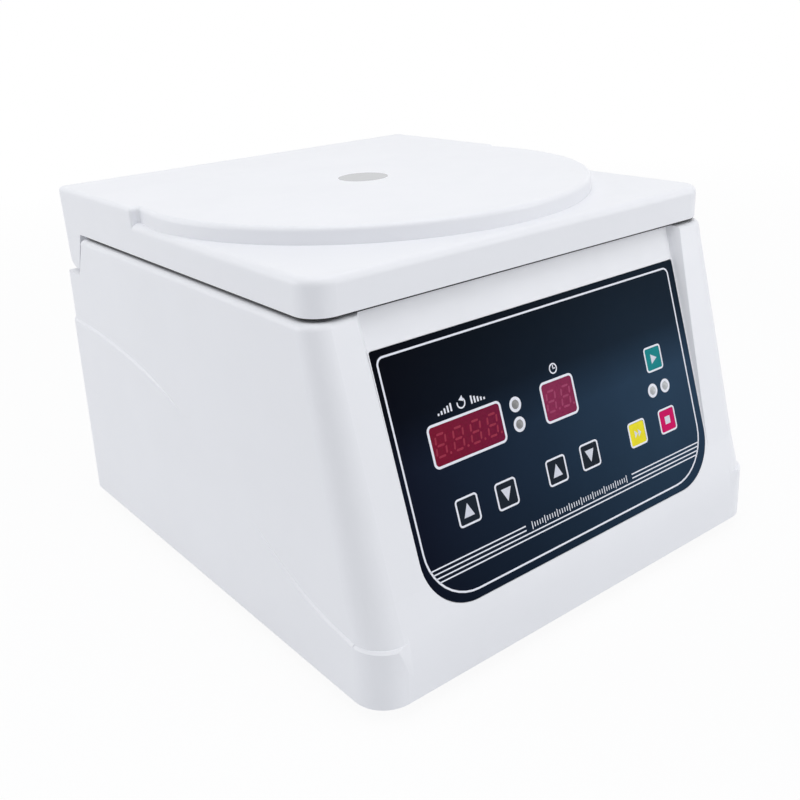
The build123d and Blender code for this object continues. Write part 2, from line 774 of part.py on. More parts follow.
def make_motor_plate():
    half = damper_pitch + motor_plate_margin
    sheet = block(-half, half, axis_y - half, axis_y + half, damper_top, plate_top)
    sheet = fillet(sheet.edges().filter_by(Axis.Z), 10)
    sheet -= rod(bearing_radius, damper_top - 1, plate_top + 1, 0, axis_y)
    return sheet - [rod(2.1, damper_top - 1, plate_top + 1, x, y) for x, y in motor_screw_places]


def make_motor():
    """Ribbed motor body with bearing seats at both ends."""
    boss_radius_top = bearing_radius + 4
    body = rod(motor_radius, plate_top, motor_top - 5, 0, axis_y)
    body = chamfer(top_edges(body), 3)
    body = chamfer(bottom_edges(body), 1.5)
    body += rod(boss_radius_top, motor_top - 5, motor_top, 0, axis_y)
    straight = motor_height - 7.5
    for index in range(motor_grooves):
        angle = 360 / motor_grooves * index
        groove = Pos(motor_radius, 0, plate_top + straight / 2) * Box(4, 5, 0.6 * straight)
        body -= Pos(0, axis_y, 0) * Rot(0, 0, angle) * groove
    body -= rod(bearing_radius, top_bearing_z, motor_top + 1, 0, axis_y)
    body -= rod(bearing_radius, low_bearing_z, low_bearing_z + bearing_width, 0, axis_y)
    body -= rod(shaft_radius + 2, low_bearing_z, motor_top, 0, axis_y)
    return body - [rod(2.1, plate_top - 1, plate_top + 9, x, y) for x, y in motor_screw_places]


def make_bearings():
    solids = []
    for low in (low_bearing_z, top_bearing_z):
        ring = rod(bearing_radius, low, low + bearing_width, 0, axis_y)
        ring = chamfer(ring.edges().group_by(Axis.Z)[-1], 0.8)
        solids.append(ring - rod(shaft_radius + running_gap, low - 1, low + bearing_width + 1, 0, axis_y))
    return solids


def make_motor_screws():
    solids = []
    for x, y in motor_screw_places:
        head = chamfer(bottom_edges(rod(3.5, damper_top - 2.6, damper_top, x, y)), 0.8)
        solids.append(head + rod(2.0, damper_top, plate_top + 8, x, y))
    return solids


rotor_z = floor_z + 8.0
rotor_top_of_hub = rotor_z + 20.0
hub_flange = 3.0
hub_radius = 10.0


def make_shaft():
    body = rod(shaft_radius, low_bearing_z + 0.5, rotor_top_of_hub, 0, axis_y)
    body += rod(shaft_radius + 1.8, low_bearing_z + bearing_width + 0.3, top_bearing_z - 0.3, 0, axis_y)
    stud = rod(stud_radius, rotor_top_of_hub, rotor_top_of_hub + 15, 0, axis_y)
    return body + chamfer(top_edges(stud), 0.8)


def make_hub():
    """Steel sleeve that carries the rotor on the shaft."""
    low = rotor_z - hub_flange
    sleeve = rod(hub_radius, low, rotor_top_of_hub, 0, axis_y)
    flange = chamfer(bottom_edges(rod(18.0, low, rotor_z, 0, axis_y)), 1.0)
    return sleeve + flange - rod(shaft_radius + 0.01, low - 1, rotor_top_of_hub + 1, 0, axis_y)


# ---------------------------------------------------------------- rotor

pocket_inner = pocket_reach * chamber_radius
pocket_outer = pocket_inner + pocket_depth
pocket_half = plate_length / 2 + plate_gap
cradle_outer = pocket_outer + rotor_wall
cradle_half = pocket_half + rotor_wall
floor_top = rotor_z + rotor_floor
cradle_top = rotor_z + cradle_height


def rounded_window(width, height, radius, depth, place, facing):
    """A rounded opening cut through a wall that faces along X or Y."""
    x_dir = (0, 1, 0) if facing == "x" else (1, 0, 0)
    z_dir = (1, 0, 0) if facing == "x" else (0, -1, 0)
    plane = Plane(origin=place, x_dir=x_dir, z_dir=z_dir)
    return extrude(plane * RectangleRounded(width, height, radius), amount=depth / 2, both=True)


def make_cradle(side):
    """One upright pocket: low inner wall, high outer wall with windows, and swept end walls."""
    inner = pocket_inner - rotor_wall
    shell = block(inner, cradle_outer, -cradle_half, cradle_half, rotor_z, cradle_top)
    shell = fillet(shell.edges().filter_by(Axis.Z).group_by(Axis.X)[-1], 6)
    shell -= block(pocket_inner, pocket_outer, -pocket_half, pocket_half, floor_top, cradle_top + 1)
    drop = cradle_top - 44
    sweep = Plane(origin=(0, -cradle_half - 1, 0), x_dir=(1, 0, 0), z_dir=(0, -1, 0))
    over = cradle_top + 1
    outline = [(inner - 1, drop), (pocket_inner + 1, drop), (pocket_outer - 6, over), (inner - 1, over)]
    shell -= extrude(sweep * make_face(Polyline(*outline, close=True)), amount=-2 * cradle_half - 2)
    middle = (floor_top + cradle_top) / 2
    for y in (-42, 0, 42):
        shell -= rounded_window(32, 42, 6, 8, (pocket_outer + 1, y, middle), "x")
    shell -= rounded_window(60, 14, 6, 8, (inner + 1, 0, floor_top + 14), "x")
    if side < 0:
        shell = Rot(0, 0, 180) * shell
    return Pos(0, axis_y, 0) * shell


def make_rotor():
    """Cast rotor: a webbed base with a boss, and a pocket for a plate on each side."""
    outline = RectangleRounded(2 * cradle_outer, 2 * cradle_half, 6)
    base = extrude(Pos(0, axis_y, rotor_z) * outline, amount=rotor_floor)
    for side in (-1, 1):
        waist = Pos(0, axis_y + side * 44, rotor_z - 1) * RectangleRounded(66, 30, 10)
        base -= extrude(waist, amount=rotor_floor + 2)
        base -= rod(30, rotor_z - 1, floor_top + 1, 0, axis_y + side * (cradle_half + 18))
    boss = rod(19, rotor_z, rotor_top_of_hub, 0, axis_y)
    base += chamfer(top_edges(boss), 1.5)
    for angle in (0, 180):
        rib = side_rib()
        base += Pos(0, axis_y, 0) * Rot(0, 0, angle) * rib
    for side in (-1, 1):
        base += make_cradle(side)
    return base - rod(hub_radius + 0.02, rotor_z - 1, rotor_top_of_hub + 1, 0, axis_y)


def side_rib():
    """Web from the boss to the inner wall of a pocket."""
    plane = Plane(origin=(0, 2.5, 0), x_dir=(1, 0, 0), z_dir=(0, -1, 0))
    low = floor_top - 1
    far = pocket_inner - 1
    near_top = rotor_top_of_hub - 2
    outline = [(15, low), (far, low), (far, cradle_top - 46), (18, near_top), (15, near_top)]
    return extrude(plane * make_face(Polyline(*outline, close=True)), amount=5)


def make_rotor_nut():
    """Lobed hand nut."""
    low = rotor_top_of_hub
    knob = Pos(0, axis_y, low) * extrude(Circle(13), amount=13)
    for index in range(8):
        angle = 2 * pi / 8 * index
        knob -= rod(3.2, low + 4, low + 14, 14.5 * cos(angle), axis_y + 14.5 * sin(angle))
    knob = knob + rod(10, low, low + 1, 0, axis_y)
    return knob - rod(stud_radius + 0.02, low - 1, low + 14, 0, axis_y)


# ---------------------------------------------------------------- lid

def lid_outline(y0, y1, inset=0.0):
    return rounded(lid_width - 2 * inset, y1 - y0 - 2 * inset, lid_corner - inset, lid_rear_corner - inset)


def crown_outline(inset=0.0):
    """The raised part seen from above: a disc in front, as wide as the lid behind the shoulder."""
    shoulder_y = axis_y + crown_shoulder
    whole = Pos(0, (lid_front + rear) / 2) * lid_outline(lid_front, rear, inset)
    front_mask = Pos(0, shoulder_y + inset - lid_width) * Rectangle(2 * lid_width, 2 * lid_width)
    disc = Pos(0, axis_y) * Circle(crown_radius - inset)
    outline = (whole - front_mask) + (disc & whole)
    corners = [v for v in outline.vertices() if abs(v.Y - shoulder_y - inset) < 1]
    return fillet(corners, notch_round)


def ear_outline():
    """Side view of a hinge ear: slanted in front, round about the hinge axis below and behind."""
    high = lid_z + 4
    low = hinge_z - 2 * ear_radius
    ear_front = hinge_y - ear_reach
    ear_back = hinge_y + ear_radius
    low_front = ear_front + (lid_z - low) * tan(radians(ear_slant))
    wedge = [(ear_front, high), (ear_front, lid_z), (low_front, low), (ear_back, low), (ear_back, high)]
    above = [(ear_front, hinge_z), (ear_back, hinge_z), (ear_back, high), (ear_front, high)]
    disc = Pos(hinge_y, hinge_z) * Circle(ear_radius)
    outline = make_face(Polyline(*wedge, close=True)) & (disc + make_face(Polyline(*above, close=True)))
    tip = [v for v in outline.vertices() if v.Y < hinge_z - ear_radius / 2 and v.X < hinge_y]
    return fillet(tip, ear_tip_round)


lid_screw_places = [(sx * 118.0, y) for sx in (-1, 1) for y in (lid_front + 14, step_y - 20)]
lid_screw_places += [(sx * 60.0, lid_front + 14) for sx in (-1, 1)]
liner_z = lid_z + 2.2
liner_gauge = 3.0
liner_top = liner_z + liner_gauge
liner_ring_radius = chamber_radius - 17
lid_ceiling = lid_top - wall
low_ceiling = lid_low_top - wall
port_radius = 14.0


def make_lid_shell():
    middle = (lid_front + rear) / 2
    outer = Pos(0, middle, lid_z) * extrude(lid_outline(lid_front, rear), amount=lid_skirt)
    outer = fillet(top_edges(outer), lid_edge_round)
    crown = Pos(0, 0, lid_z) * extrude(crown_outline(), amount=lid_skirt + lid_crown)
    crown = fillet(top_edges(crown), crown_round)
    shell = outer + crown
    prism = Pos(0, middle, lid_z - 60) * extrude(lid_outline(lid_front, rear), amount=70)
    for side in (-1, 1):
        plane = Plane(origin=(side * lid_half, 0, 0), x_dir=(0, 1, 0), z_dir=(1, 0, 0))
        ear = extrude(plane * ear_outline(), amount=-side * ear_width)
        shell += ear & prism
    skirt_low = lid_z - rear_skirt_drop
    shell += block(-lid_half, lid_half, rear - wall, rear, skirt_low, lid_z + 4) & prism
    inner_low = lid_outline(lid_front, rear, wall)
    inside = Pos(0, middle, lid_z - 1) * extrude(inner_low, amount=low_ceiling - lid_z + 1)
    inside += Pos(0, 0, lid_z + 1) * extrude(crown_outline(wall), amount=lid_ceiling - lid_z - 1)
    ear_front = hinge_y - ear_reach
    ear_top = hinge_z + ear_radius + 4
    for side in (-1, 1):
        inside -= block(side * (lid_half - ear_width), side * lid_half, ear_front, rear, lid_z - 2, ear_top)
    shell -= inside
    for x, y in lid_screw_places:
        ceiling = lid_ceiling if y > axis_y + crown_shoulder else low_ceiling
        shell += rod(4.0, liner_top, ceiling + 1, x, y)
        shell -= rod(1.3, liner_top - 1, liner_top + 9, x, y)
    shell -= rod(window_radius + 0.05, lid_ceiling - 1, lid_top + 1, 0, axis_y)
    for side in (-1, 1):
        inner = lid_half - ear_width
        shell -= rod_x(pin_radius + running_gap, side * (inner - 1), side * (inner + 8), hinge_y, hinge_z)
    return shell


def make_lid_window():
    """Stepped clear disc, level with the crown and held from below."""
    disc = rod(window_radius, lid_top - window_gauge, lid_top, 0, axis_y)
    flange = rod(window_radius + 3.5, lid_ceiling - 2, lid_ceiling, 0, axis_y)
    return disc + flange


def make_lid_liner():
    """Inner panel of the lid, with a sight tube up to the window and a stiffening ring."""
    y0, y1 = lid_front + wall + 0.5, step_y - 8
    half = lid_half - wall - 0.5
    corner = lid_corner - wall
    sheet = extrude(slab(liner_z, y0, y1, half, corner, corner), amount=liner_gauge)
    sheet += rod(port_radius + 3, liner_z, lid_ceiling - 2, 0, axis_y)
    ring = rod(liner_ring_radius, liner_top, liner_top + 6, 0, axis_y)
    sheet += ring - rod(liner_ring_radius - 2.5, liner_z, liner_top + 7, 0, axis_y)
    sheet -= rod(port_radius, liner_z - 1, lid_ceiling, 0, axis_y)
    return sheet - [rod(1.6, liner_z - 1, liner_top + 1, x, y) for x, y in lid_screw_places]


def make_liner_screws():
    solids = []
    for x, y in lid_screw_places:
        head = chamfer(bottom_edges(rod(2.9, liner_z - 1.5, liner_z, x, y)), 0.6)
        solids.append(head + rod(1.2, liner_z, liner_top + 8, x, y))
    return solids


striker_drop = 27.0
bolt_z = deck_z - 15.0


def make_striker():
    """Steel catch: a fixing foot and a blade with the window that the bolt enters."""
    low = liner_z - striker_drop
    blade = block(-1, 1, striker_y - 7, striker_y + 7, low, liner_z)
    blade = fillet(blade.edges().filter_by(Axis.X).group_by(Axis.Z)[0], 3)
    window = block(-2, 2, striker_y - 4, striker_y + 4, bolt_z - 4.5, bolt_z + 4.5)
    foot = block(-10, 10, striker_y - 7, striker_y + 7, liner_z - 1.6, liner_z)
    foot = fillet(foot.edges().filter_by(Axis.Z), 3)
    return blade + foot - window


# ---------------------------------------------------------------- latch and lid sensor

latch_gauge = 2.0
cheek_gap = 6.0
bolt_tip = 3.5
collar_x = cheek_gap + latch_gauge + latch_stroke + 0.5
collar_width = 2.0
solenoid_x = collar_x + collar_width + 3.0
solenoid_size = (30.0, 20.0, 18.0)
sensor_x = -22.0


def make_latch_bracket():
    """Folded bracket under the deck, with two bored cheeks for the bolt."""
    low, high = bolt_z - 8, under_deck
    y0, y1 = striker_y - 10, striker_y + 10
    web = block(sensor_x - 10, solenoid_x + solenoid_size[0], y0, y1, high - latch_gauge, high)
    for side in (-1, 1):
        web += block(side * cheek_gap, side * (cheek_gap + latch_gauge), y0, y1, low, high)
    web -= Pos(0, striker_y, high - 2) * Box(2 * slot_half_x, 2 * slot_half_y, 6)
    return web - rod_x(latch_bolt_radius + running_gap, -12, 12, striker_y, bolt_z)


def make_solenoid():
    length, depth, height = solenoid_size
    top = under_deck - latch_gauge
    body = Pos(solenoid_x + length / 2, striker_y, top - height / 2) * Box(length, depth, height)
    body = fillet(body.edges().filter_by(Axis.X), 2)
    bore = latch_bolt_radius + running_gap
    return body - rod_x(bore, solenoid_x - 1, solenoid_x + length - 2, striker_y, bolt_z)


def make_latch_bolt():
    body = rod_x(latch_bolt_radius, bolt_tip, solenoid_x + solenoid_size[0] - 4, striker_y, bolt_z)
    body = chamfer(body.edges().group_by(Axis.X)[0], 1.0)
    collar = rod_x(4.5, collar_x, collar_x + collar_width, striker_y, bolt_z)
    return body + collar


def make_lid_sensor():
    top = under_deck - latch_gauge
    return block(sensor_x - 6, sensor_x + 6, striker_y - 4, striker_y + 4, top - 9, top)


def make_sensor_magnet():
    magnet = block(sensor_x - 4, sensor_x + 4, striker_y - 4, striker_y + 4, liner_z - 1.8, liner_z)
    return fillet(magnet.edges().filter_by(Axis.Z), 1)


# ---------------------------------------------------------------- hinges

bracket_outer = lid_half - ear_width - 1.0


def make_hinge_bracket(side):
    """Steel angle on the housing's rear step; its upright is trimmed clear of the lid's back wall."""
    low = step_z
    inner = side * (bracket_outer - 26)
    foot = block(inner, side * bracket_outer, hinge_y - 15, hinge_y + 4, low, low + bracket_gauge)
    plane = Plane(origin=(side * bracket_outer, 0, 0), x_dir=(0, 1, 0), z_dir=(1, 0, 0))
    y = hinge_y
    side_view = [(y - 15, low), (y + 3, low), (y + 7.3, hinge_z), (y - 7.3, hinge_z + 1)]
    web = make_face(Polyline(*side_view, close=True))
    eye = Pos(hinge_y, hinge_z) * Circle(7.5)
    upright = extrude(plane * (web + eye), amount=-side * bracket_gauge)
    bracket = foot + upright
    bracket -= [rod(2.1, low - 1, low + 5, x, y) for x, y in hinge_screw_places if x * side > 0]
    bore = rod_x(pin_radius + 0.01, side * (bracket_outer - 5), side * (bracket_outer + 1), y, hinge_z)
    return bracket - bore


def make_hinge_pin(side):
    inner = bracket_outer - bracket_gauge
    shank = rod_x(pin_radius, side * inner, side * (bracket_outer + 8), hinge_y, hinge_z)
    head = rod_x(pin_radius + 2, side * (inner - 3), side * inner, hinge_y, hinge_z)
    return shank + head


def make_hinge_screws():
    solids = []
    for x, y in hinge_screw_places:
        low = step_z + bracket_gauge
        head = chamfer(top_edges(rod(3.4, low, low + 2.4, x, y)), 0.7)
        solids.append(head + rod(2.0, step_z - 9, low, x, y))
        nut = Pos(x, y, step_z - wall - 3.2) * extrude(RegularPolygon(3.9, 6), amount=3.2)
        solids.append(nut - rod(2.05, step_z - 10, step_z, x, y))
    return solids


# ---------------------------------------------------------------- control panel

def make_overlay():
    film = extrude(panel * overlay_outline(), amount=-overlay_gauge)
    deep = overlay_gauge + 1
    film -= panel_block(speed_window_at, speed_window_size, -1, deep)
    film -= panel_block(time_window_at, time_window_size, -1, deep)
    film -= [panel_rod(place, lamp_radius + 0.1, -1, deep) for place in lamps_at]
    hole = key_size + well_margin
    for place in keys_at.values():
        film -= panel_block(place, (hole, hole), -1, deep)
    return film


def make_key(place):
    """Square key with softened corners and a stem that reaches for its switch."""
    cap = panel_block(place, (key_size, key_size), 0, overlay_gauge)
    cap = fillet(cap.edges().filter_by(Axis(panel.origin, panel.z_dir)), 1.5)
    return cap + panel_rod(place, stem_radius, overlay_gauge, board_depth - 4.1 - key_travel)


def make_display(place, size):
    width, height = size
    return panel_block(place, (width - 1.2, height - 0.6), overlay_gauge + 0.2, board_depth)


def make_lamps():
    solids = []
    for place in lamps_at:
        body = panel_rod(place, lamp_radius, -0.2, board_depth)
        dome = on_panel(place, -0.2) * Sphere(lamp_radius, arc_size1=0)
        solids.append(body + dome)
    return solids


def make_key_switches():
    solids = []
    for place in keys_at.values():
        body = panel_block(place, (6, 6), board_depth - 3.5, board_depth)
        solids.append(body + panel_rod(place, 1.7, board_depth - 4.1, board_depth - 3.5))
    return solids


chip_size = 14.0
plug_size = (24.0, 7.0)


def make_control_board():
    x, v = board_at
    back = board_depth + board_gauge
    board = panel_block(board_at, (board_width, board_height), board_depth, back)
    chip = panel_block((x - board_width / 10, v + 4), (chip_size, chip_size), back, back + 1.6)
    plug = panel_block((x + board_width / 4, v - board_height / 4), plug_size, back, back + 8)
    return board + chip + plug


# ---------------------------------------------------------------- power electronics

core_leg = 10.0             # the core is six legs wide and five high
core_depth = 28.0
transformer_side_gap = 18.9
transformer_back_gap = 37.3


def make_transformer():
    """Laminated core on two feet, with a coil around its middle leg."""
    leg = core_leg
    x = -pan_half + transformer_side_gap + 3.8 * leg
    y = pan_back - transformer_back_gap - 2.4 * leg
    z = pan_top
    deep = core_depth / 2
    core = block(x - 3 * leg, x + 3 * leg, y - deep, y + deep, z, z + 5 * leg)
    for side in (-1, 1):
        core -= block(x + side * leg, x + side * 2 * leg, y - deep - 1, y + deep + 1, z + leg, z + 4 * leg)
    coil = block(x - 1.9 * leg, x + 1.9 * leg, y - 2.4 * leg, y + 2.4 * leg, z + 1.1 * leg, z + 3.9 * leg)
    coil = fillet(coil.edges().filter_by(Axis.Z), 8)
    feet = block(x - 3.8 * leg, x + 3.8 * leg, y - 8, y + 8, z, z + 2)
    return core + coil + feet


drive_board_size = (72.0, 68.0)
drive_board_side_gap = 17.9
drive_board_back_gap = 12.3
drive_leg = 10.0
sink_height = 24.0
capacitor_radius = 8.0
capacitor_height = 24.0


def make_drive_board():
    """Motor drive board on four legs, with its heat sink and reservoir capacitors."""
    half_x = drive_board_size[0] / 2
    half_y = drive_board_size[1] / 2
    x = pan_half - drive_board_side_gap - half_x
    y = pan_back - drive_board_back_gap - half_y
    low = pan_top + drive_leg
    top = low + board_gauge
    board = block(x - half_x, x + half_x, y - half_y, y + half_y, low, top)
    for sx in (-1, 1):
        for sy in (-1, 1):
            board += rod(3, pan_top, low, x + sx * (half_x - 5), y + sy * (half_y - 5))
    sink_x = x - half_x + 6
    sink_y = half_y - 8
    board += block(sink_x, sink_x + 26.5, y - sink_y, y + sink_y, top, top + 2.4)
    for fin in range(6):
        fin_x = sink_x + 5 * fin
        board += block(fin_x, fin_x + 1.5, y - sink_y, y + sink_y, top + 2.4, top + sink_height)
    for row in (-1, 0, 1):
        board += rod(capacitor_radius, top, top + capacitor_height, x + 14, y + 20 * row)
    return board


# ---------------------------------------------------------------- write the pieces

save("housing", make_housing())
save("base_pan", make_base_pan())
for (x, y), name in zip(foot_places, ("front_left", "rear_left", "front_right", "rear_right")):
    save(f"foot_{name}", make_foot(x, y))
save("foot_screws", *make_foot_screws())
save("base_screws", *make_base_screws())
save("rear_panel", make_rear_panel())
save("rear_screws", *make_rear_screws())
save("mains_inlet", make_mains_inlet())
save("inlet_pins", *make_inlet_pins())
save("fuse_holder", make_fuse_holder())
save("switch_frame", make_switch_frame())
save("power_rocker", make_rocker())
save("chamber_bowl", make_bowl())
save("rim_seal", make_seal())
save("guard_ring", make_guard_ring())
save("shaft_boot", make_boot())
save("dampers", *make_dampers())
save("motor_plate", make_motor_plate())
save("motor_housing", make_motor())
save("motor_bearings", *make_bearings())
save("motor_screws", *make_motor_screws())
save("motor_shaft", make_shaft())
save("rotor_hub", make_hub())
save("rotor", make_rotor())
save("rotor_nut", make_rotor_nut())
save("lid_shell", make_lid_shell())
save("lid_window", make_lid_window())
save("lid_liner", make_lid_liner())
save("liner_screws", *make_liner_screws())
save("lid_striker", make_striker())
save("latch_bracket", make_latch_bracket())
save("latch_solenoid", make_solenoid())
save("latch_bolt", make_latch_bolt())
save("lid_sensor", make_lid_sensor())
save("sensor_magnet", make_sensor_magnet())
for side, name in ((-1, "left"), (1, "right")):
    save(f"hinge_bracket_{name}", make_hinge_bracket(side))
    save(f"hinge_pin_{name}", make_hinge_pin(side))
save("hinge_screws", *make_hinge_screws())
save("control_overlay", make_overlay())
save("speed_window", panel_block(speed_window_at, speed_window_size, 0, overlay_gauge))
save("time_window", panel_block(time_window_at, time_window_size, 0, overlay_gauge))
save("speed_display", make_display(speed_window_at, speed_window_size))
save("time_display", make_display(time_window_at, time_window_size))
save("indicator_lamps", *make_lamps())
for name, place in keys_at.items():
    save(name, make_key(place))
save("key_switches", *make_key_switches())
save("control_board", make_control_board())
save("mains_transformer", make_transformer())
save("drive_board", make_drive_board())
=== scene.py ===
import json
from math import cos, pi, radians, sin, tan

import bmesh
import bpy
from mathutils import Matrix, Vector

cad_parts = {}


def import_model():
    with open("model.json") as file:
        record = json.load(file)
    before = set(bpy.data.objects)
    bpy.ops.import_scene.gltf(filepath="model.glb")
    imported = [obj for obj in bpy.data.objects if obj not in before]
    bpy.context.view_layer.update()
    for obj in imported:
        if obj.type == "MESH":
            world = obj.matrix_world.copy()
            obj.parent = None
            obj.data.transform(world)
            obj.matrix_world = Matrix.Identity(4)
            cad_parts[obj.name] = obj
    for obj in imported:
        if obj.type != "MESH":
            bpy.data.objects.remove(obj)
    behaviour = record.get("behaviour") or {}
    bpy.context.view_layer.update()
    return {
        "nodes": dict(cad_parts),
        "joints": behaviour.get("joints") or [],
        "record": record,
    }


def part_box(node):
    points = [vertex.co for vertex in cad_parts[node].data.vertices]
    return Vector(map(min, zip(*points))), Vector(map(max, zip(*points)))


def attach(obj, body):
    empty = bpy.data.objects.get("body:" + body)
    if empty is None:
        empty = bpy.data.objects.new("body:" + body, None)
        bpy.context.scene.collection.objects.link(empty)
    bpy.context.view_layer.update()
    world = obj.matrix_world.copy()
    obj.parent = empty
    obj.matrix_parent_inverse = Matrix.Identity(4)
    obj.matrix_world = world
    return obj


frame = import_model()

# A bench centrifuge for microplates, dressed on its CAD frame.  Metres, +Z up, the front faces -Y.

MM = 0.001
NODES = frame["nodes"]


# ---------------------------------------------------------------- the control panel's own frame

press = next(joint for joint in frame["joints"] if joint["name"] == "key_start_press")
NORMAL = -Vector(press["axis"]).normalized()
ACROSS = Vector((1, 0, 0))
UP_SLOPE = Vector((0, NORMAL.z, -NORMAL.y))
FILM_GAUGE = 0.8 * MM
film_low, film_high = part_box("control_overlay")
FILM_LENGTH = (film_high.z - film_low.z - FILM_GAUGE * NORMAL.z) / UP_SLOPE.z
TOP_EDGE = Vector((0, film_low.y + FILM_LENGTH * UP_SLOPE.y, film_high.z))


def on_panel(x, v, lift=0.0):
    """A point x to the right of the middle and v down from the film's top edge, in millimetres."""
    return TOP_EDGE + MM * (x * ACROSS - v * UP_SLOPE + lift * NORMAL)


def panel_extent(points):
    """(x0, x1, v0, v1) of some points on the panel, in millimetres."""
    across = [(point - TOP_EDGE).dot(ACROSS) / MM for point in points]
    down = [(TOP_EDGE - point).dot(UP_SLOPE) / MM for point in points]
    return min(across), max(across), min(down), max(down)


def node_extent(node):
    """The same for a whole node."""
    return panel_extent([vertex.co for vertex in NODES[node].data.vertices])


def islands(node):
    """The points of each separate solid in a node."""
    mesh = NODES[node].data
    group = list(range(len(mesh.vertices)))

    def root(index):
        while group[index] != index:
            group[index] = group[group[index]]
            index = group[index]
        return index

    spots = {}
    for vertex in mesh.vertices:
        key = tuple(round(value / MM, 3) for value in vertex.co)
        group[root(vertex.index)] = root(spots.setdefault(key, vertex.index))
    for edge in mesh.edges:
        group[root(edge.vertices[0])] = root(edge.vertices[1])
    found = {}
    for vertex in mesh.vertices:
        found.setdefault(root(vertex.index), []).append(vertex.co.copy())
    return list(found.values())


# ---------------------------------------------------------------- node materials

def linear(red, green, blue):
    """A colour given as it looks on a screen, 0 to 255, as the shader needs it."""
    values = [channel / 255 for channel in (red, green, blue)]
    return [c / 12.92 if c <= 0.04045 else ((c + 0.055) / 1.055) ** 2.4 for c in values] + [1.0]


def shade(colour, factor):
    return [channel * factor for channel in colour[:3]] + [1.0]


def grey(level):
    return [level] * 3 + [1.0]


class Finish:
    """One procedural material, built up a layer at a time."""

    def __init__(self, name, roughness, metallic=0.0, specular=0.5):
        self.material = bpy.data.materials.new(name)
        self.material.use_nodes = True
        self.tree = self.material.node_tree
        self.shader = self.tree.nodes["Principled BSDF"]
        self.shader.inputs["Roughness"].default_value = roughness
        self.shader.inputs["Metallic"].default_value = metallic
        self.shader.inputs["Specular IOR Level"].default_value = specular
        self.height = None

    def node(self, kind, **values):
        """A new node, with its properties and its sockets' values set by name."""
        made = self.tree.nodes.new(kind)
        for key, value in values.items():
            if hasattr(made, key):
                setattr(made, key, value)
            else:
                made.inputs[key.replace("_", " ").title()].default_value = value
        return made

    def link(self, source, target):
        self.tree.links.new(source, target)

    def place(self, stretch=(1, 1, 1), origin=(0, 0, 0)):
        """Object coordinates, measured from an origin and stretched."""
        coordinates = self.node("ShaderNodeTexCoord")
        mapping = self.node("ShaderNodeMapping")
        mapping.inputs["Location"].default_value = [-s * o for s, o in zip(stretch, origin)]
        mapping.inputs["Scale"].default_value = stretch
        self.link(coordinates.outputs["Object"], mapping.inputs["Vector"])
        return mapping.outputs["Vector"]

    def noise(self, size, detail=4.0, stretch=(1, 1, 1)):
        """Noise whose features are about size metres across."""
        texture = self.node("ShaderNodeTexNoise", scale=1 / size, detail=detail)
        self.link(self.place(stretch), texture.inputs["Vector"])
        return texture.outputs["Fac"]

    def rings(self, pitch, origin):
        """Fine turned rings round an upright axis."""
        texture = self.node("ShaderNodeTexWave", wave_type="RINGS", rings_direction="Z")
        texture.inputs["Scale"].default_value = 1 / (pitch * pi)
        texture.inputs["Distortion"].default_value = 0.3
        texture.inputs["Detail"].default_value = 3
        self.link(self.place(origin=origin), texture.inputs["Vector"])
        return texture.outputs["Fac"]

    def bands(self, pitch, direction):
        """Straight bands, a pitch apart."""
        texture = self.node("ShaderNodeTexWave", wave_type="BANDS", bands_direction=direction)
        texture.inputs["Scale"].default_value = 1 / (pitch * pi)
        self.link(self.place(), texture.inputs["Vector"])
        return texture.outputs["Fac"]

    def ramp(self, source, *stops):
        """Colours for the values of a source; each stop is (place, colour)."""
        ramp = self.node("ShaderNodeValToRGB")
        elements = ramp.color_ramp.elements
        while len(elements) < len(stops):
            elements.new(1.0)
        for element, (place, colour) in zip(elements, stops):
            element.position = place
            element.color = colour
        self.link(source, ramp.inputs["Fac"])
        return ramp.outputs["Color"]

    def blend(self, factor, first, second, mode="MIX"):
        """Two colours mixed; each of the three may be a value or another node's output."""
        mix = self.node("ShaderNodeMix", data_type="RGBA", blend_type=mode)
        for value, socket in ((factor, mix.inputs[0]), (first, mix.inputs[6]), (second, mix.inputs[7])):
            if hasattr(value, "is_output"):
                self.link(value, socket)
            else:
                socket.default_value = value
        return mix.outputs[2]

    def remap(self, source, low, high, new_low=0.0, new_high=1.0):
        """The source's values from low to high, spread over a new range."""
        span = self.node("ShaderNodeMapRange")
        for name, value in zip(("From Min", "From Max", "To Min", "To Max"), (low, high, new_low, new_high)):
            span.inputs[name].default_value = value
        self.link(source, span.inputs["Value"])
        return span.outputs["Result"]

    def along(self, axis, low, high):
        """0 to 1 between two places on an axis of the row frame."""
        coordinates = self.node("ShaderNodeTexCoord")
        split = self.node("ShaderNodeSeparateXYZ")
        self.link(coordinates.outputs["Object"], split.inputs["Vector"])
        return self.remap(split.outputs[axis], low, high)

    def colour(self, source):
        """The base colour, taken from a node's output."""
        self.link(source, self.shader.inputs["Base Color"])
        return self

    def mottle(self, colour, source, spread):
        """The colour, a little darker and lighter with the source."""
        darker, lighter = shade(colour, 1 - spread), shade(colour, 1 + spread)
        return self.colour(self.ramp(source, (0.3, darker), (0.7, lighter)))

    def rough(self, source, low, high):
        """Roughness that follows the source."""
        self.link(self.remap(source, 0.3, 0.7, low, high), self.shader.inputs["Roughness"])
        return self

    def bump(self, source, depth):
        """Relief of that depth in metres, on top of any relief made before."""
        relief = self.node("ShaderNodeBump")
        relief.inputs["Distance"].default_value = depth
        self.link(source, relief.inputs["Height"])
        if self.height:
            self.link(self.height, relief.inputs["Normal"])
        self.height = relief.outputs["Normal"]
        self.link(self.height, self.shader.inputs["Normal"])
        return self


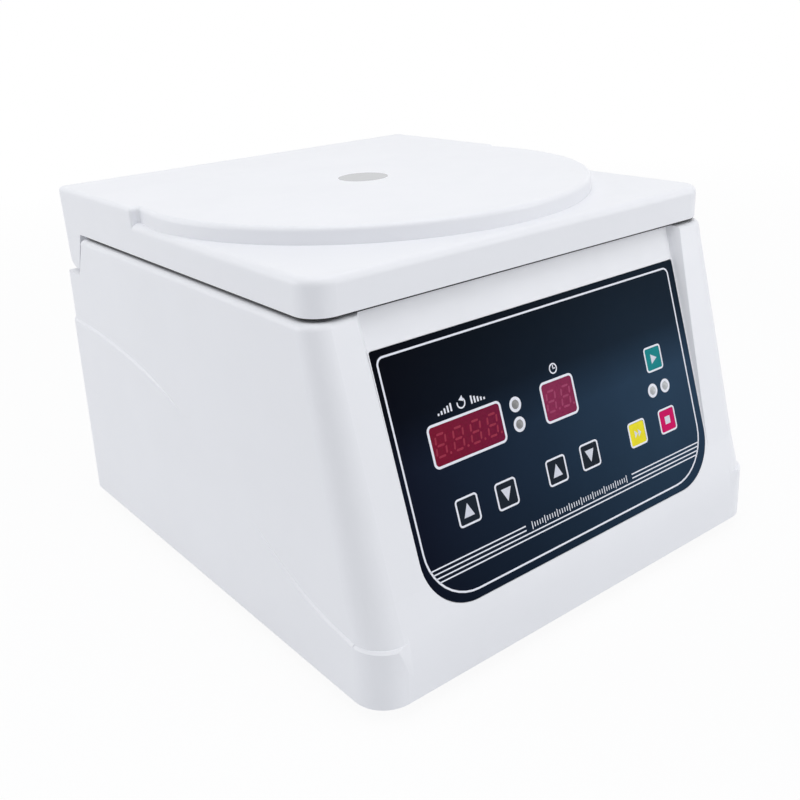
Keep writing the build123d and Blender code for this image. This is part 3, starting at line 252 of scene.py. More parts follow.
def moulded(name, colour, roughness=0.42, relief=0.012, spread=0.012):
    """Moulded plastic: faint cloudiness, a fine even grain and a slow waviness."""
    finish = Finish(name, roughness)
    cloud = finish.noise(0.06, detail=3)
    finish.mottle(colour, cloud, spread)
    finish.rough(finish.noise(0.012), roughness - 0.05, roughness + 0.05)
    finish.bump(finish.noise(0.03, detail=2), 0.02 * MM)
    finish.bump(finish.noise(0.9 * MM, detail=2), relief * MM)
    return finish


def sheet_metal(name, colour, roughness, stretch, relief=0.006):
    """Rolled or ground metal with its grain along one direction."""
    finish = Finish(name, roughness, metallic=1.0)
    finish.mottle(colour, finish.noise(0.02, detail=5), 0.06)
    streaks = finish.noise(0.5 * MM, detail=3, stretch=stretch)
    finish.rough(streaks, roughness - 0.08, roughness + 0.10)
    finish.bump(streaks, relief * MM)
    return finish


def powder_coat(name, colour, roughness=0.5):
    """Painted sheet with an orange-peel skin."""
    finish = Finish(name, roughness)
    finish.mottle(colour, finish.noise(0.03), 0.02)
    skin = finish.noise(1.6 * MM, detail=1)
    finish.rough(skin, roughness - 0.06, roughness + 0.06)
    finish.bump(skin, 0.03 * MM)
    return finish


def rubber(name, colour):
    finish = Finish(name, 0.75, specular=0.35)
    finish.mottle(colour, finish.noise(0.01), 0.15)
    grain = finish.noise(0.7 * MM, detail=3)
    finish.rough(grain, 0.66, 0.86)
    finish.bump(grain, 0.03 * MM)
    return finish


def plated(name, colour):
    """Zinc plating: a fine crystalline patchwork."""
    finish = Finish(name, 0.38, metallic=1.0)
    patches = finish.node("ShaderNodeTexVoronoi", scale=1 / (3 * MM))
    finish.link(finish.place(), patches.inputs["Vector"])
    darker, lighter = shade(colour, 0.85), shade(colour, 1.08)
    finish.colour(finish.ramp(patches.outputs["Color"], (0.0, darker), (1.0, lighter)))
    finish.rough(finish.noise(2 * MM), 0.30, 0.46)
    finish.bump(finish.noise(0.6 * MM), 0.008 * MM)
    return finish


def window_acrylic(name):
    """Smoked sight glass, seen over the dark chamber."""
    finish = Finish(name, 0.12)
    finish.mottle(linear(172, 174, 177), finish.noise(0.02), 0.03)
    finish.rough(finish.noise(4 * MM), 0.08, 0.16)
    return finish


def overlay_film(name):
    """Printed polyester film, its colour a painted reflection: near black at the top left, a deep slate blue
    on the right.
    """
    finish = Finish(name, 0.34, specular=0.012)
    low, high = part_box("control_overlay")
    # A painted reflection: the film's colour runs from near black on the left to slate blue on the right.
    tone = finish.ramp(
        finish.along("X", low.x, high.x),
        (0.0, linear(17, 22, 38)),
        (0.45, linear(31, 48, 67)),
        (0.85, linear(43, 65, 87)),
        (1.0, linear(43, 64, 86)),
    )
    # Painted reflection too: the colour darkens towards the top and a little towards the bottom.
    painted_reflection_fade = finish.ramp(
        finish.along("Z", low.z, high.z),
        (0.0, grey(0.72)),
        (0.35, grey(0.95)),
        (0.55, grey(1.0)),
        (0.74, grey(0.40)),
        (1.0, grey(0.26)),
    )
    cloud = finish.ramp(finish.noise(0.03), (0.3, grey(0.93)), (0.7, grey(1.0)))
    finish.colour(finish.blend(1.0, finish.blend(1.0, tone, painted_reflection_fade, "MULTIPLY"), cloud, "MULTIPLY"))
    finish.rough(finish.noise(5 * MM), 0.30, 0.40)
    finish.bump(finish.noise(0.5 * MM, detail=1), 0.006 * MM)
    return finish


def display_window(name, node, left, right):
    """Tinted window over a row of digits, finely speckled, with its tone from left to right."""
    finish = Finish(name, 0.18, specular=0.03)
    low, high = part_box(node)
    tone = finish.ramp(finish.along("X", low.x, high.x), (0.0, left), (1.0, right))
    dots = finish.node("ShaderNodeTexVoronoi", scale=1 / (1.3 * MM))
    finish.link(finish.place(), dots.inputs["Vector"])
    speckle = finish.ramp(dots.outputs["Distance"], (0.0, grey(1.0)), (0.9, grey(0.80)))
    finish.colour(finish.blend(1.0, tone, speckle, "MULTIPLY"))
    finish.rough(finish.noise(3 * MM), 0.12, 0.22)
    return finish


def lamp_lens(name):
    """Unlit lamps: the left pair looks duller than the right pair."""
    finish = Finish(name, 0.22)
    side = finish.along("X", -10 * MM, 40 * MM)
    tone = finish.ramp(side, (0.2, linear(142, 142, 142)), (0.8, linear(196, 198, 200)))
    cloud = finish.ramp(finish.noise(1.2 * MM), (0.3, grey(0.88)), (0.7, grey(1.0)))
    finish.colour(finish.blend(1.0, tone, cloud, "MULTIPLY"))
    return finish


def key_finish(name, colour):
    """A printed key of the membrane, with the film's own fine texture."""
    finish = Finish(name, 0.36, specular=0.04)
    finish.mottle(colour, finish.noise(5 * MM), 0.05)
    finish.rough(finish.noise(4 * MM), 0.28, 0.42)
    finish.bump(finish.noise(0.5 * MM, detail=1), 0.006 * MM)
    return finish


def circuit_board(name):
    """Circuit board with copper runs under a green mask."""
    finish = Finish(name, 0.4)
    runs = finish.ramp(finish.bands(3.2 * MM, "X"), (0.45, linear(14, 82, 48)), (0.6, linear(30, 118, 70)))
    patches = finish.ramp(finish.noise(0.012, detail=1), (0.47, grey(0.0)), (0.53, grey(1.0)))
    finish.colour(finish.blend(patches, linear(12, 74, 44), runs))
    finish.rough(finish.noise(6 * MM), 0.3, 0.5)
    finish.bump(finish.bands(3.2 * MM, "X"), 0.02 * MM)
    return finish


def stainless(name):
    """Deep-drawn and polished round the rotor's axis."""
    finish = Finish(name, 0.28, metallic=1.0)
    axis = Vector(next(joint for joint in frame["joints"] if joint["name"] == "rotor_spin")["pos_m"])
    turned = finish.rings(0.8 * MM, axis)
    finish.mottle(linear(212, 213, 216), finish.noise(0.03), 0.05)
    finish.rough(turned, 0.22, 0.36)
    finish.bump(turned, 0.006 * MM)
    return finish


def blasted_aluminium(name):
    """Cast and bead-blasted, then anodised."""
    finish = Finish(name, 0.42, metallic=1.0)
    finish.mottle(linear(214, 216, 220), finish.noise(0.03), 0.04)
    blasted = finish.noise(0.5 * MM, detail=2)
    finish.rough(blasted, 0.36, 0.50)
    finish.bump(blasted, 0.02 * MM)
    return finish


def laminations(name):
    """Stacked transformer sheets under varnish."""
    finish = Finish(name, 0.45)
    sheets = finish.bands(1.0 * MM, "Y")
    finish.colour(finish.ramp(sheets, (0.2, linear(70, 62, 58)), (0.8, linear(104, 96, 90))))
    finish.rough(finish.noise(5 * MM), 0.36, 0.55)
    finish.bump(sheets, 0.05 * MM)
    return finish


def white_ink():
    """Screen-printed white, a little thin in places."""
    finish = Finish("print_ink", 0.5, specular=0.3)
    finish.mottle(linear(232, 234, 243), finish.noise(1.5 * MM), 0.04)
    finish.rough(finish.noise(2 * MM), 0.44, 0.58)
    return finish


def grey_ink():
    """The duller print on the keys themselves."""
    finish = Finish("grey_ink", 0.5, specular=0.3)
    finish.mottle(linear(212, 215, 226), finish.noise(1.5 * MM), 0.05)
    return finish


def ghost_ink(name, colour):
    """The unlit segments, seen faintly through a window."""
    finish = Finish(name, 0.2, specular=0.06)
    finish.mottle(colour, finish.noise(2 * MM), 0.10)
    return finish


SLOT_FINISHES = {
    "white_abs": lambda name: moulded(name, linear(238, 239, 243), roughness=0.40, spread=0.008),
    "liner_abs": lambda name: moulded(name, linear(219, 220, 223), roughness=0.55, relief=0.02),
    "window_acrylic": window_acrylic,
    "overlay_film": overlay_film,
    "window_red": lambda name: display_window(
        name, "speed_window", linear(128, 16, 48), linear(120, 18, 58)),
    "window_magenta": lambda name: display_window(
        name, "time_window", linear(144, 44, 84), linear(138, 40, 80)),
    "lamp_lens": lamp_lens,
    "key_black": lambda name: key_finish(name, linear(24, 33, 44)),
    "key_teal": lambda name: key_finish(name, linear(20, 132, 136)),
    "key_crimson": lambda name: key_finish(name, linear(204, 14, 96)),
    "key_yellow": lambda name: key_finish(name, linear(238, 224, 50)),
    "black_plastic": lambda name: moulded(
        name, linear(30, 30, 32), roughness=0.5, relief=0.02, spread=0.12),
    "led_module": lambda name: moulded(name, linear(72, 70, 74), roughness=0.5, spread=0.06),
    "board_green": circuit_board,
    "contact_metal": lambda name: sheet_metal(name, linear(226, 222, 210), 0.25, (1, 0.1, 1)),
    "pan_steel": lambda name: powder_coat(name, linear(205, 207, 210)),
    "rear_steel": lambda name: powder_coat(name, linear(214, 216, 219)),
    "zinc_steel": lambda name: plated(name, linear(206, 208, 212)),
    "stainless": stainless,
    "rubber_black": lambda name: rubber(name, linear(40, 40, 41)),
    "rubber_grey": lambda name: rubber(name, linear(148, 150, 152)),
    "motor_case": lambda name: powder_coat(name, linear(62, 63, 66), roughness=0.45),
    "bearing_steel": lambda name: sheet_metal(
        name, linear(222, 223, 226), 0.18, (1, 1, 12), relief=0.003),
    "rotor_aluminium": blasted_aluminium,
    "core_steel": laminations,
}


def dress_nodes():
    """Gives every CAD node the finish of its material slot, and returns the materials by slot."""
    made = {name: finish(name).material for name, finish in SLOT_FINISHES.items()}
    for part in frame["record"]["subparts"]:
        node = NODES[part["node"]]
        node.data.materials.clear()
        node.data.materials.append(made[part["material_slot"]])
    return made


# ---------------------------------------------------------------- print, as thin closed solids

# Heights over the panel's face, in millimetres.  What overlaps in plan lies at its own height.
INK_LOW = -0.01
INK_HIGH = 0.04
MASK_HIGH = 0.02
CLEAR_HIGH = 0.04
DIGIT_LOW = 0.03
DIGIT_HIGH = 0.05
LINE_HIGH = 0.06
KEY_PRINT_LOW = 0.005       # clear of the key, which drops away from under it


def mesh_object(name, mesh, material):
    """An object made from a bmesh, which it frees."""
    data = bpy.data.meshes.new(name)
    mesh.to_mesh(data)
    mesh.free()
    data.materials.append(material)
    piece = bpy.data.objects.new(name, data)
    bpy.context.scene.collection.objects.link(piece)
    return piece


def rounded(x0, x1, v0, v1, top, bottom, steps=10):
    """Points of a rounded rectangle on the panel, with a radius for its top and its bottom corners."""
    corners = [
        (x0 + top, v0 + top, top, 2),
        (x1 - top, v0 + top, top, 3),
        (x1 - bottom, v1 - bottom, bottom, 0),
        (x0 + bottom, v1 - bottom, bottom, 1),
    ]
    points = []
    for x, v, radius, quarter in corners:
        for step in range(steps + 1):
            angle = (quarter + step / steps) * pi / 2
            points.append((x + radius * cos(angle), v + radius * sin(angle)))
    return points


def circle(x, v, radius, steps=40):
    angles = [2 * pi * i / steps for i in range(steps)]
    return [(x + radius * cos(angle), v + radius * sin(angle)) for angle in angles]


class Print:
    """A mesh of thin closed solids on the panel, or on another flat face."""

    def __init__(self, name, material, low=INK_LOW, high=INK_HIGH, place=on_panel):
        self.name = name
        self.material = material
        self.place = place
        self.low = low
        self.high = high
        self.mesh = bmesh.new()

    def layer(self, points, lift):
        return [self.mesh.verts.new(self.place(x, v, lift)) for x, v in points]

    def patch(self, points):
        """A filled outline."""
        low = self.layer(points, self.low)
        high = self.layer(points, self.high)
        self.mesh.faces.new(low[::-1])
        self.mesh.faces.new(high)
        for i in range(len(points)):
            j = (i + 1) % len(points)
            self.mesh.faces.new((low[i], low[j], high[j], high[i]))

    def band(self, outer, inner, closed=True):
        """The area between two outlines with the same number of points, or between two open lines."""
        loops = [self.layer(points, lift) for lift in (self.low, self.high) for points in (outer, inner)]
        outer_low, inner_low, outer_high, inner_high = loops
        count = len(outer)
        for i in range(count if closed else count - 1):
            j = (i + 1) % count
            self.mesh.faces.new((outer_low[i], outer_low[j], inner_low[j], inner_low[i]))
            self.mesh.faces.new((outer_high[i], inner_high[i], inner_high[j], outer_high[j]))
            self.mesh.faces.new((outer_low[i], outer_high[i], outer_high[j], outer_low[j]))
            self.mesh.faces.new((inner_low[i], inner_low[j], inner_high[j], inner_high[i]))
        if not closed:
            for i in (0, count - 1):
                self.mesh.faces.new((outer_low[i], inner_low[i], inner_high[i], outer_high[i]))

    def frame(self, x0, x1, v0, v1, top, bottom, stroke):
        """A line of one stroke inside a rounded rectangle."""
        outer = rounded(x0, x1, v0, v1, top, bottom)
        inner = rounded(x0 + stroke, x1 - stroke, v0 + stroke, v1 - stroke, top - stroke, bottom - stroke)
        self.band(outer, inner)

    def arc(self, x, v, radius, stroke, start=0, end=359.9, steps=32):
        """A line of one stroke along an arc between two angles in degrees; a ring unless they are given."""
        angles = [radians(start + (end - start) * i / steps) for i in range(steps + 1)]
        loops = []
        for size in (radius + stroke / 2, radius - stroke / 2):
            loops.append([(x + size * cos(a), v + size * sin(a)) for a in angles])
        self.band(loops[0], loops[1], closed=False)

    def bar(self, x0, x1, v0, v1):
        self.patch([(x0, v0), (x1, v0), (x1, v1), (x0, v1)])

    def finish_on(self, body):
        """Makes the object, which rides on a body."""
        bmesh.ops.recalc_face_normals(self.mesh, faces=self.mesh.faces)
        piece = mesh_object(self.name, self.mesh, self.material)
        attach(piece, body)


# The white line inside the film's edge: its distance from each edge, its stroke and its corners
BORDER_LEFT = 2.6
BORDER_RIGHT = 5.3
BORDER_TOP = 3.55
BORDER_BOTTOM = 4.4
BORDER_STROKE = 1.1
BORDER_CORNER_TOP = 4.5
BORDER_CORNER_BOTTOM = 30.5
# The four rules under the keys, measured up from the film's lower edge
RULES = (24.6, 22.2, 19.7, 17.3)
RULES_PARTED = 2            # of them, the upper ones, leave the middle to the scale
RULE_STROKE = 0.75
RULE_GAP = 45.0
# The graduated scale between the upper rules
SCALE_PITCH = 2.0
SCALE_HALF = 20             # marks to either side of the middle one
SCALE_LONG_EVERY = 5
SCALE_LONG = 4.6
SCALE_SHORT = 2.8
SCALE_STROKE = 0.6
LAMP_RING = 4.3             # outer radius of the white ring round a lamp
LAMP_RING_GAP = 0.1
# The clear part of each window in the film's print: x0, x1, v0, v1
CLEAR = {"speed_window": (-95.0, -44.3, 45.9, 68.1), "time_window": (-12.8, 12.8, 45.6, 68.2)}
TINTS = {"speed_window": "window_red", "time_window": "window_magenta"}
CLEAR_CORNER = 2.8
CLEAR_STROKE = 1.35
MASK_MARGIN = 0.6           # how far the mask reaches past the window in the film
SIGN_UP = 6.2               # from a clear part's upper edge to the middle of its sign
# The turning arrow over the speed window, and the bars to its left and right
TURN_RADIUS = 2.6
TURN_FROM = -60             # degrees, where its head is
TURN_TO = 200
TURN_HEAD = ((-2.6, 0.4), (0.5, 1.6), (0.1, -1.7))
SIGN_STROKE = 0.8
BARS = 5
BAR_NEAREST = 7.2
BAR_PITCH = 2.2
BAR_STROKE = 1.1
BAR_TALLEST = 4.4
BAR_FALL = 0.8
BAR_FOOT = 2.4
# The clock over the time window
CLOCK_RADIUS = 2.7
CLOCK_HAND = 0.35           # half the width of its hands
CLOCK_MINUTE = 2.0
CLOCK_HOUR = 1.6


def border_places():
    """(x0, x1, v0, v1) of the border line."""
    low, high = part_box("control_overlay")
    return low.x / MM + BORDER_LEFT, high.x / MM - BORDER_RIGHT, BORDER_TOP, FILM_LENGTH / MM - BORDER_BOTTOM


def rule_ends(v):
    """Where a rule at height v meets the middle of the border's line."""
    x0, x1, top, bottom = border_places()
    inset = BORDER_STROKE / 2
    radius = BORDER_CORNER_BOTTOM - inset
    into = max(v - (bottom - BORDER_CORNER_BOTTOM), 0)
    inset += radius - (radius ** 2 - into ** 2) ** 0.5
    return x0 + inset, x1 - inset


def panel_print(material):
    """Everything that is printed on the film itself."""
    art = Print("panel_print", material)
    art.frame(*border_places(), BORDER_CORNER_TOP, BORDER_CORNER_BOTTOM, BORDER_STROKE)
    for index, up in enumerate(RULES):
        v = FILM_LENGTH / MM - up
        left, right = rule_ends(v)
        runs = [(left, -RULE_GAP), (RULE_GAP, right)] if index < RULES_PARTED else [(left, right)]
        for start, end in runs:
            art.bar(start, end, v - RULE_STROKE / 2, v + RULE_STROKE / 2)
    scale_marks(art)
    for points in islands("indicator_lamps"):
        x0, x1, v0, v1 = panel_extent(points)
        x, v = (x0 + x1) / 2, (v0 + v1) / 2
        art.band(circle(x, v, LAMP_RING), circle(x, v, (x1 - x0) / 2 + LAMP_RING_GAP))
    rotation_mark(art)
    clock_mark(art)
    art.finish_on("chassis")


def window_print(material, made):
    """The film's print over each window: a mask round it, the clear part and the line round that."""
    lines = Print("window_lines", material, high=LINE_HIGH)
    for node, (x0, x1, v0, v1) in CLEAR.items():
        left, right, top, bottom = node_extent(node)
        mask = Print(node + "_mask", made["overlay_film"], high=MASK_HIGH)
        mask.bar(left - MASK_MARGIN, right + MASK_MARGIN, top - MASK_MARGIN, bottom + MASK_MARGIN)
        mask.finish_on("chassis")
        clear = Print(node + "_clear", made[TINTS[node]], high=CLEAR_HIGH)
        clear.patch(rounded(x0, x1, v0, v1, CLEAR_CORNER, CLEAR_CORNER))
        clear.finish_on("chassis")
        half = CLEAR_STROKE / 2
        corner = CLEAR_CORNER + half
        lines.frame(x0 - half, x1 + half, v0 - half, v1 + half, corner, corner, CLEAR_STROKE)
    lines.finish_on("chassis")


def scale_marks(art):
    """A plain graduated scale in the gap between the upper rules."""
    middle = FILM_LENGTH / MM - (RULES[0] + RULES[1]) / 2
    for index in range(-SCALE_HALF, SCALE_HALF + 1):
        x = index * SCALE_PITCH
        tall = SCALE_SHORT if index % SCALE_LONG_EVERY else SCALE_LONG
        art.bar(x - SCALE_STROKE / 2, x + SCALE_STROKE / 2, middle - tall / 2, middle + tall / 2)


def sign_place(node):
    """Where the sign over a window goes."""
    x0, x1, v0, v1 = CLEAR[node]
    return (x0 + x1) / 2, v0 - SIGN_UP


def rotation_mark(art):
    """A turning arrow over the speed window, between two rows of rising bars."""
    x, v = sign_place("speed_window")
    art.arc(x, v, TURN_RADIUS, SIGN_STROKE, TURN_FROM, TURN_TO)
    tip = radians(TURN_FROM)
    head_x, head_v = x + TURN_RADIUS * cos(tip), v + TURN_RADIUS * sin(tip)
    art.patch([(head_x + across, head_v + down) for across, down in TURN_HEAD])
    for index in range(BARS):
        tall = BAR_TALLEST - BAR_FALL * index
        for side in (-1, 1):
            middle = x + side * (BAR_NEAREST + BAR_PITCH * index)
            art.bar(middle - BAR_STROKE / 2, middle + BAR_STROKE / 2, v + BAR_FOOT - tall, v + BAR_FOOT)


def clock_mark(art):
    """A clock face over the time window."""
    x, v = sign_place("time_window")
    art.arc(x, v, CLOCK_RADIUS, SIGN_STROKE, steps=48)
    art.bar(x - CLOCK_HAND, x + CLOCK_HAND, v - CLOCK_MINUTE, v + CLOCK_HAND)
    art.bar(x - CLOCK_HAND, x + CLOCK_HOUR, v - CLOCK_HAND, v + CLOCK_HAND)


KEY_STROKE = 1.1
KEY_CORNER = 2.3
KEY_HALF = 7.85             # half the width of a key's outline
KEY_SHIFT = 0.4             # of the outline and the sign, right and up from the key's middle
# The shapes of each key's sign, in (across, down) steps from its middle
KEY_UP = [[(0, -4.0), (3.7, 3.4), (-3.7, 3.4)]]
KEY_DOWN = [[(0, 4.0), (3.7, -3.4), (-3.7, -3.4)]]
KEY_SIGNS = {
    "key_speed_up": KEY_UP,
    "key_speed_down": KEY_DOWN,
    "key_time_up": KEY_UP,
    "key_time_down": KEY_DOWN,
    "key_start": [[(-2.2, -3.0), (3.0, 0), (-2.2, 3.0)]],
    "key_stop": [[(-2.4, -2.4), (2.4, -2.4), (2.4, 2.4), (-2.4, 2.4)]],
    "key_mode": [[(shift, -2.4), (shift + 2.6, 0), (shift, 2.4)] for shift in (-2.6, 0.6)],
}


def key_marks(white, duller):
    """A white outline on the film round each key, over its gap, and a sign that goes down with the key."""
    for node, shapes in KEY_SIGNS.items():
        x0, x1, v0, v1 = node_extent(node)
        x, v = (x0 + x1) / 2 + KEY_SHIFT, (v0 + v1) / 2 - KEY_SHIFT
        outline = Print(node + "_outline", white, low=KEY_PRINT_LOW)
        edges = (x - KEY_HALF, x + KEY_HALF, v - KEY_HALF, v + KEY_HALF)
        outline.frame(*edges, KEY_CORNER, KEY_CORNER, KEY_STROKE)
        outline.finish_on("chassis")
        sign = Print(node + "_sign", duller)
        for shape in shapes:
            sign.patch([(x + across, v + down) for across, down in shape])
        sign.finish_on(node)


SEGMENT_SLANT = radians(7)
SEGMENT_STROKE = 1.25
SEGMENT_GAP = 0.71875       # from a digit's corner to the tip of a segment
DIGIT_WIDTH = 6.6
DIGIT_HEIGHT = 11.6
POINT_RADIUS = 0.75
POINT_ACROSS = 1.9          # from the digit's right edge
POINT_UP = 0.2              # from its lower edge
DIGITS_MARGIN = 1.0         # from the ends of the clear part to the first and last digit's room
DIGITS_SHIFT = 0.6          # to the left, which leaves room for the point
# Each window's row: the piece's name, how many digits, and the colour of an unlit segment
DIGIT_ROWS = {
    "speed_window": ("speed_digits", 4, linear(150, 40, 66)),
    "time_window": ("time_digits", 2, linear(156, 60, 98)),
}


def segment(art, x, v, start, end):
    """One six-sided bar of a digit, between two of its corners."""
    first, last = Vector(start), Vector(end)
    half = SEGMENT_STROKE / 2
    along = (last - first).normalized()
    side = Vector((-along.y, along.x)) * half
    shoulder = along * half
    first += along * SEGMENT_GAP
    last -= along * SEGMENT_GAP
    outline = [
        first, first + shoulder + side, last - shoulder + side,
        last, last - shoulder - side, first + shoulder - side,
    ]
    art.patch([(x + p.x - p.y * tan(SEGMENT_SLANT), v + p.y) for p in outline])


def digit(art, x, v):
    """The seven segments and the point of a digit."""
    half_x, half_v = DIGIT_WIDTH / 2, DIGIT_HEIGHT / 2
    corners = {(i, j): (i * half_x, j * half_v) for i in (-1, 1) for j in (-1, 0, 1)}
    for j in (-1, 0, 1):
        segment(art, x, v, corners[-1, j], corners[1, j])
    for i in (-1, 1):
        for j in (-1, 0):
            segment(art, x, v, corners[i, j], corners[i, j + 1])
    art.patch(circle(x + half_x + POINT_ACROSS, v + half_v - POINT_UP, POINT_RADIUS, steps=16))


def ghost_digits():
    """The unlit digits behind the two windows."""
    for node, (name, count, colour) in DIGIT_ROWS.items():
        x0, x1, v0, v1 = CLEAR[node]
        art = Print(name, ghost_ink(name, colour).material, low=DIGIT_LOW, high=DIGIT_HIGH)
        pitch = (x1 - x0 - 2 * DIGITS_MARGIN) / count
        for index in range(count):
            digit(art, x0 + DIGITS_MARGIN + pitch * (index + 0.5) - DIGITS_SHIFT, (v0 + v1) / 2)
        art.finish_on("chassis")


def flat_faces(node, facing):
    """The large flat faces of a node that look along facing: (middle, normal, area), the largest first."""
    groups = {}
    for face in NODES[node].data.polygons:
        if face.normal.dot(facing) > 0.8:
            key = tuple(round(value, 2) for value in face.normal)
            groups.setdefault(key, []).append(face)
    found = []
    for faces in groups.values():
        area = sum(face.area for face in faces)
        middle = sum((face.center * face.area for face in faces), Vector()) / area
        found.append((middle, faces[0].normal.copy(), area))
    return sorted(found, key=lambda face: -face[2])


ON_STROKE = 0.9
ON_TALL = 4.4
OFF_RADIUS = 1.9
OFF_STROKE = 0.8


def rocker_marks(material):
    """The on and off signs of the mains switch, on the two slopes of its rocker."""
    slopes = flat_faces("power_rocker", Vector((0, 1, 0)))[:2]
    slopes.sort(key=lambda face: -face[0].z)
    for sign, (middle, normal, _) in zip(("on", "off"), slopes):
        up = Vector((0, -normal.z, normal.y))

        def on_slope(x, v, lift=0.0, middle=middle, normal=normal, up=up):
            return middle + MM * (lift * normal - x * ACROSS - v * up)

        mark = Print("rocker_" + sign, material, place=on_slope)
        if sign == "on":
            mark.bar(-ON_STROKE / 2, ON_STROKE / 2, -ON_TALL / 2, ON_TALL / 2)
        else:
            mark.arc(0, 0, OFF_RADIUS, OFF_STROKE, steps=40)
        mark.finish_on("power_rocker")


# ---------------------------------------------------------------- black strips at the lid's rim: painted shade in the gap

def gap_shade_strip(name, body, material, side, front, back, corner, section):
    """A black strip round the lid's opening, open towards the hinge, which puts painted shade into the gap.

    Its section is in (out, up) steps from the line, which runs side to either side of the middle.
    """
    turns = 12              # steps round each corner
    path = [(-side, back)]
    for hand in (-1, 1):
        for step in range(turns + 1):
            angle = (step if hand < 0 else turns - step) / turns * pi / 2
            x = side - corner * (1 - cos(angle))
            path.append((hand * x, front + corner * (1 - sin(angle))))
    path.append((side, back))
    mesh = bmesh.new()
    loops = []
    for index, (x, y) in enumerate(path):
        before = Vector(path[max(index - 1, 0)])
        after = Vector(path[min(index + 1, len(path) - 1)])
        along = (after - before).normalized()
        out = Vector((along.y, -along.x))
        loops.append([mesh.verts.new(MM * Vector((x + out.x * w, y + out.y * w, z))) for w, z in section])
    for first, second in zip(loops, loops[1:]):
        for i in range(len(section)):
            j = (i + 1) % len(section)
            mesh.faces.new((first[i], first[j], second[j], second[i]))
    mesh.faces.new(loops[0])
    mesh.faces.new(loops[-1][::-1])
    bmesh.ops.recalc_face_normals(mesh, faces=mesh.faces)
    piece = mesh_object(name, mesh, material)
    for face in piece.data.polygons:
        face.use_smooth = True
    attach(piece, body)


def bead(half, root, crown, steps=8):
    """Section of a strip with straight sides and a round top, from its root to its crown."""
    turn = 1 if crown > root else -1
    shoulder = crown - turn * half
    angles = [pi * i / steps for i in range(steps + 1)]
    top = [(half * cos(angle), shoulder + turn * half * sin(angle)) for angle in angles]
    return [(-half, root), (half, root)] + top


LID_GAP = 2.3               # between the deck and the underside of the lid's wall
# Black strips put painted shade into the gap: one on the deck stands inside the lid's wall, and one hangs
# from the middle of that wall.
DECK_SHADE_IN = 4.8             # from the lid's side
DECK_SHADE_FRONT_IN = 13.2      # from its front
DECK_SHADE_BACK = 141.0         # where its ends are, behind the middle
DECK_SHADE_CORNER = 12.0
DECK_SHADE_HALF = 1.5
DECK_SHADE_TALL = 2.7
RIM_SHADE_IN = 1.5
RIM_SHADE_BACK = 139.0
RIM_SHADE_CORNER = 13.5
RIM_SHADE_HALF = 1.0
RIM_SHADE_DROP = 1.2


def lid_gap_shades(material):
    """Painted shade in the lid's gap: a black strip on the deck and a thin one along the lid's lower rim."""
    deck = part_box("housing")[1].z / MM
    low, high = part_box("lid_shell")
    half, front, rim = high.x / MM, low.y / MM, deck + LID_GAP
    deck_shade = bead(DECK_SHADE_HALF, deck, deck + DECK_SHADE_TALL)
    gap_shade_strip("deck_gap_shade", "chassis", material, half - DECK_SHADE_IN, front + DECK_SHADE_FRONT_IN, DECK_SHADE_BACK,
            DECK_SHADE_CORNER, deck_shade)
    rim_shade = bead(RIM_SHADE_HALF, rim, rim - RIM_SHADE_DROP)
    gap_shade_strip("lid_rim_gap_shade", "lid", material, half - RIM_SHADE_IN, front + RIM_SHADE_IN, RIM_SHADE_BACK, RIM_SHADE_CORNER, rim_shade)


# ---------------------------------------------------------------- studio

FLOOR_HALF = 40.0
FLOOR_FADE = 1.6            # radius over which the floor turns to plain white
FLOOR_WHITE = 0.93
FLOOR_GAP = 0.1 * MM        # keeps the floor clear of the feet's own faces
SKY_COLOUR = (0.955, 0.97, 1.0, 1.0)
SKY_STRENGTH = 0.52
CAMERA_PLACE = (-0.3805, -0.4987, 0.3422)
CAMERA_AZIMUTH = radians(-37.376)
CAMERA_ELEVATION = radians(22.464)
CAMERA_ROLL = radians(-3.070)
CAMERA_LENS = 43.80
CAMERA_SENSOR = 36.0
LAMP_TARGET = Vector((0, 0, 0.10))
# Large soft lamps that face the object: where, how wide, how strong
LAMPS = {
    "soft_top": ((-0.1, -0.2, 1.6), 1.6, 11.2),
    "left_back": ((-1.6, 1.25, 0.7), 1.2, 8.4),
    "front_right": ((1.35, -1.6, 0.7), 1.2, 9.6),
}


def seen_directly(tree):
    """1 for rays from the camera, gloss or glass, and 0 for light that falls on something."""
    path = tree.nodes.new("ShaderNodeLightPath")
    seen = path.outputs["Is Camera Ray"]
    for ray in ("Is Glossy Ray", "Is Transmission Ray"):
        either = tree.nodes.new("ShaderNodeMath")
        either.operation = "MAXIMUM"
        tree.links.new(seen, either.inputs[0])
        tree.links.new(path.outputs[ray], either.inputs[1])
        seen = either.outputs[0]
    return seen


def floor():
    """A pale floor that the camera sees nearly white, and that keeps the object's shadow."""
    finish = Finish("floor", 0.8, specular=0.2)
    finish.mottle(linear(238, 239, 241), finish.noise(0.5), 0.01)
    away = finish.node("ShaderNodeTexGradient", gradient_type="SPHERICAL")
    finish.link(finish.place(stretch=[1 / FLOOR_FADE] * 3), away.inputs["Vector"])
    share = finish.node("ShaderNodeMath", operation="MULTIPLY")
    finish.link(seen_directly(finish.tree), share.inputs[0])
    finish.link(finish.remap(away.outputs["Fac"], 0.0, 0.6, 1.0, FLOOR_WHITE), share.inputs[1])
    glow = finish.node("ShaderNodeEmission")
    mix = finish.node("ShaderNodeMixShader")
    finish.link(share.outputs[0], mix.inputs[0])
    finish.link(finish.shader.outputs[0], mix.inputs[1])
    finish.link(glow.outputs[0], mix.inputs[2])
    finish.link(mix.outputs[0], finish.tree.nodes["Material Output"].inputs["Surface"])
    mesh = bmesh.new()
    bmesh.ops.create_grid(mesh, x_segments=8, y_segments=8, size=FLOOR_HALF)
    plane = mesh_object("floor", mesh, finish.material)
    plane.location.z = -FLOOR_GAP


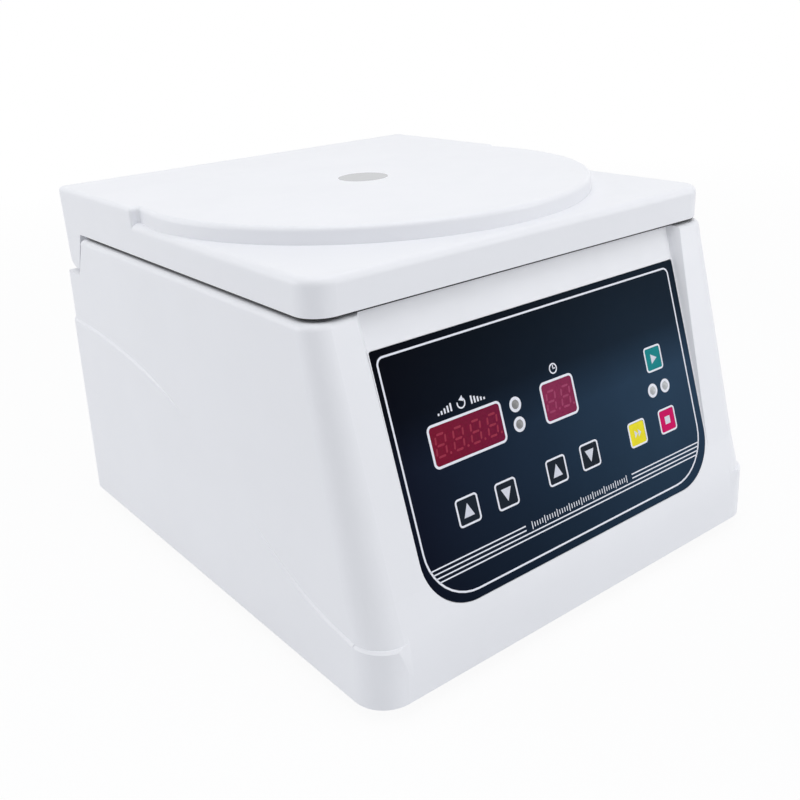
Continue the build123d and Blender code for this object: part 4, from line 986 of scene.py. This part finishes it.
def world():
    """Even sky light; the camera, gloss and glass see plain white."""
    sky = bpy.data.worlds.new("studio")
    bpy.context.scene.world = sky
    sky.use_nodes = True
    tree = sky.node_tree
    ambient = tree.nodes["Background"]
    ambient.inputs["Color"].default_value = SKY_COLOUR
    ambient.inputs["Strength"].default_value = SKY_STRENGTH
    white = tree.nodes.new("ShaderNodeBackground")
    white.inputs["Color"].default_value = (1, 1, 1, 1)
    white.inputs["Strength"].default_value = 1.0
    mix = tree.nodes.new("ShaderNodeMixShader")
    tree.links.new(seen_directly(tree), mix.inputs[0])
    tree.links.new(ambient.outputs[0], mix.inputs[1])
    tree.links.new(white.outputs[0], mix.inputs[2])
    tree.links.new(mix.outputs[0], tree.nodes["World Output"].inputs["Surface"])


def lamp(name, place, size, power):
    light = bpy.data.lights.new(name, "AREA")
    light.shape = "SQUARE"
    light.size = size
    light.energy = power
    light_object = bpy.data.objects.new(name, light)
    light_object.location = place
    light_object.rotation_euler = (LAMP_TARGET - Vector(place)).to_track_quat("-Z", "Y").to_euler()
    bpy.context.scene.collection.objects.link(light_object)


def camera():
    """The photograph's viewpoint."""
    level_out = cos(CAMERA_ELEVATION)
    back = Vector((sin(CAMERA_AZIMUTH) * level_out, -cos(CAMERA_AZIMUTH) * level_out, sin(CAMERA_ELEVATION)))
    level = (-back).cross(Vector((0, 0, 1))).normalized()
    upright = level.cross(-back)
    right = cos(CAMERA_ROLL) * level + sin(CAMERA_ROLL) * upright
    up = cos(CAMERA_ROLL) * upright - sin(CAMERA_ROLL) * level
    data = bpy.data.cameras.new("camera")
    data.lens = CAMERA_LENS
    data.sensor_width = CAMERA_SENSOR
    data.clip_start = 0.01
    data.clip_end = 20
    viewer = bpy.data.objects.new("camera", data)
    turn = Matrix((right, up, back)).transposed().to_4x4()
    viewer.matrix_world = Matrix.Translation(CAMERA_PLACE) @ turn
    bpy.context.scene.collection.objects.link(viewer)
    bpy.context.scene.camera = viewer


camera()
world()
floor()
for lamp_name, (lamp_place, lamp_size, lamp_power) in LAMPS.items():
    lamp(lamp_name, lamp_place, lamp_size, lamp_power)
materials = dress_nodes()
white = white_ink().material
panel_print(white)
window_print(white, materials)
key_marks(white, grey_ink().material)
ghost_digits()
rocker_marks(white)
# Black strips at the lid's rim, as painted shade in the gap.
lid_gap_shades(materials["rubber_black"])

bpy.context.scene.view_settings.view_transform = "Standard"
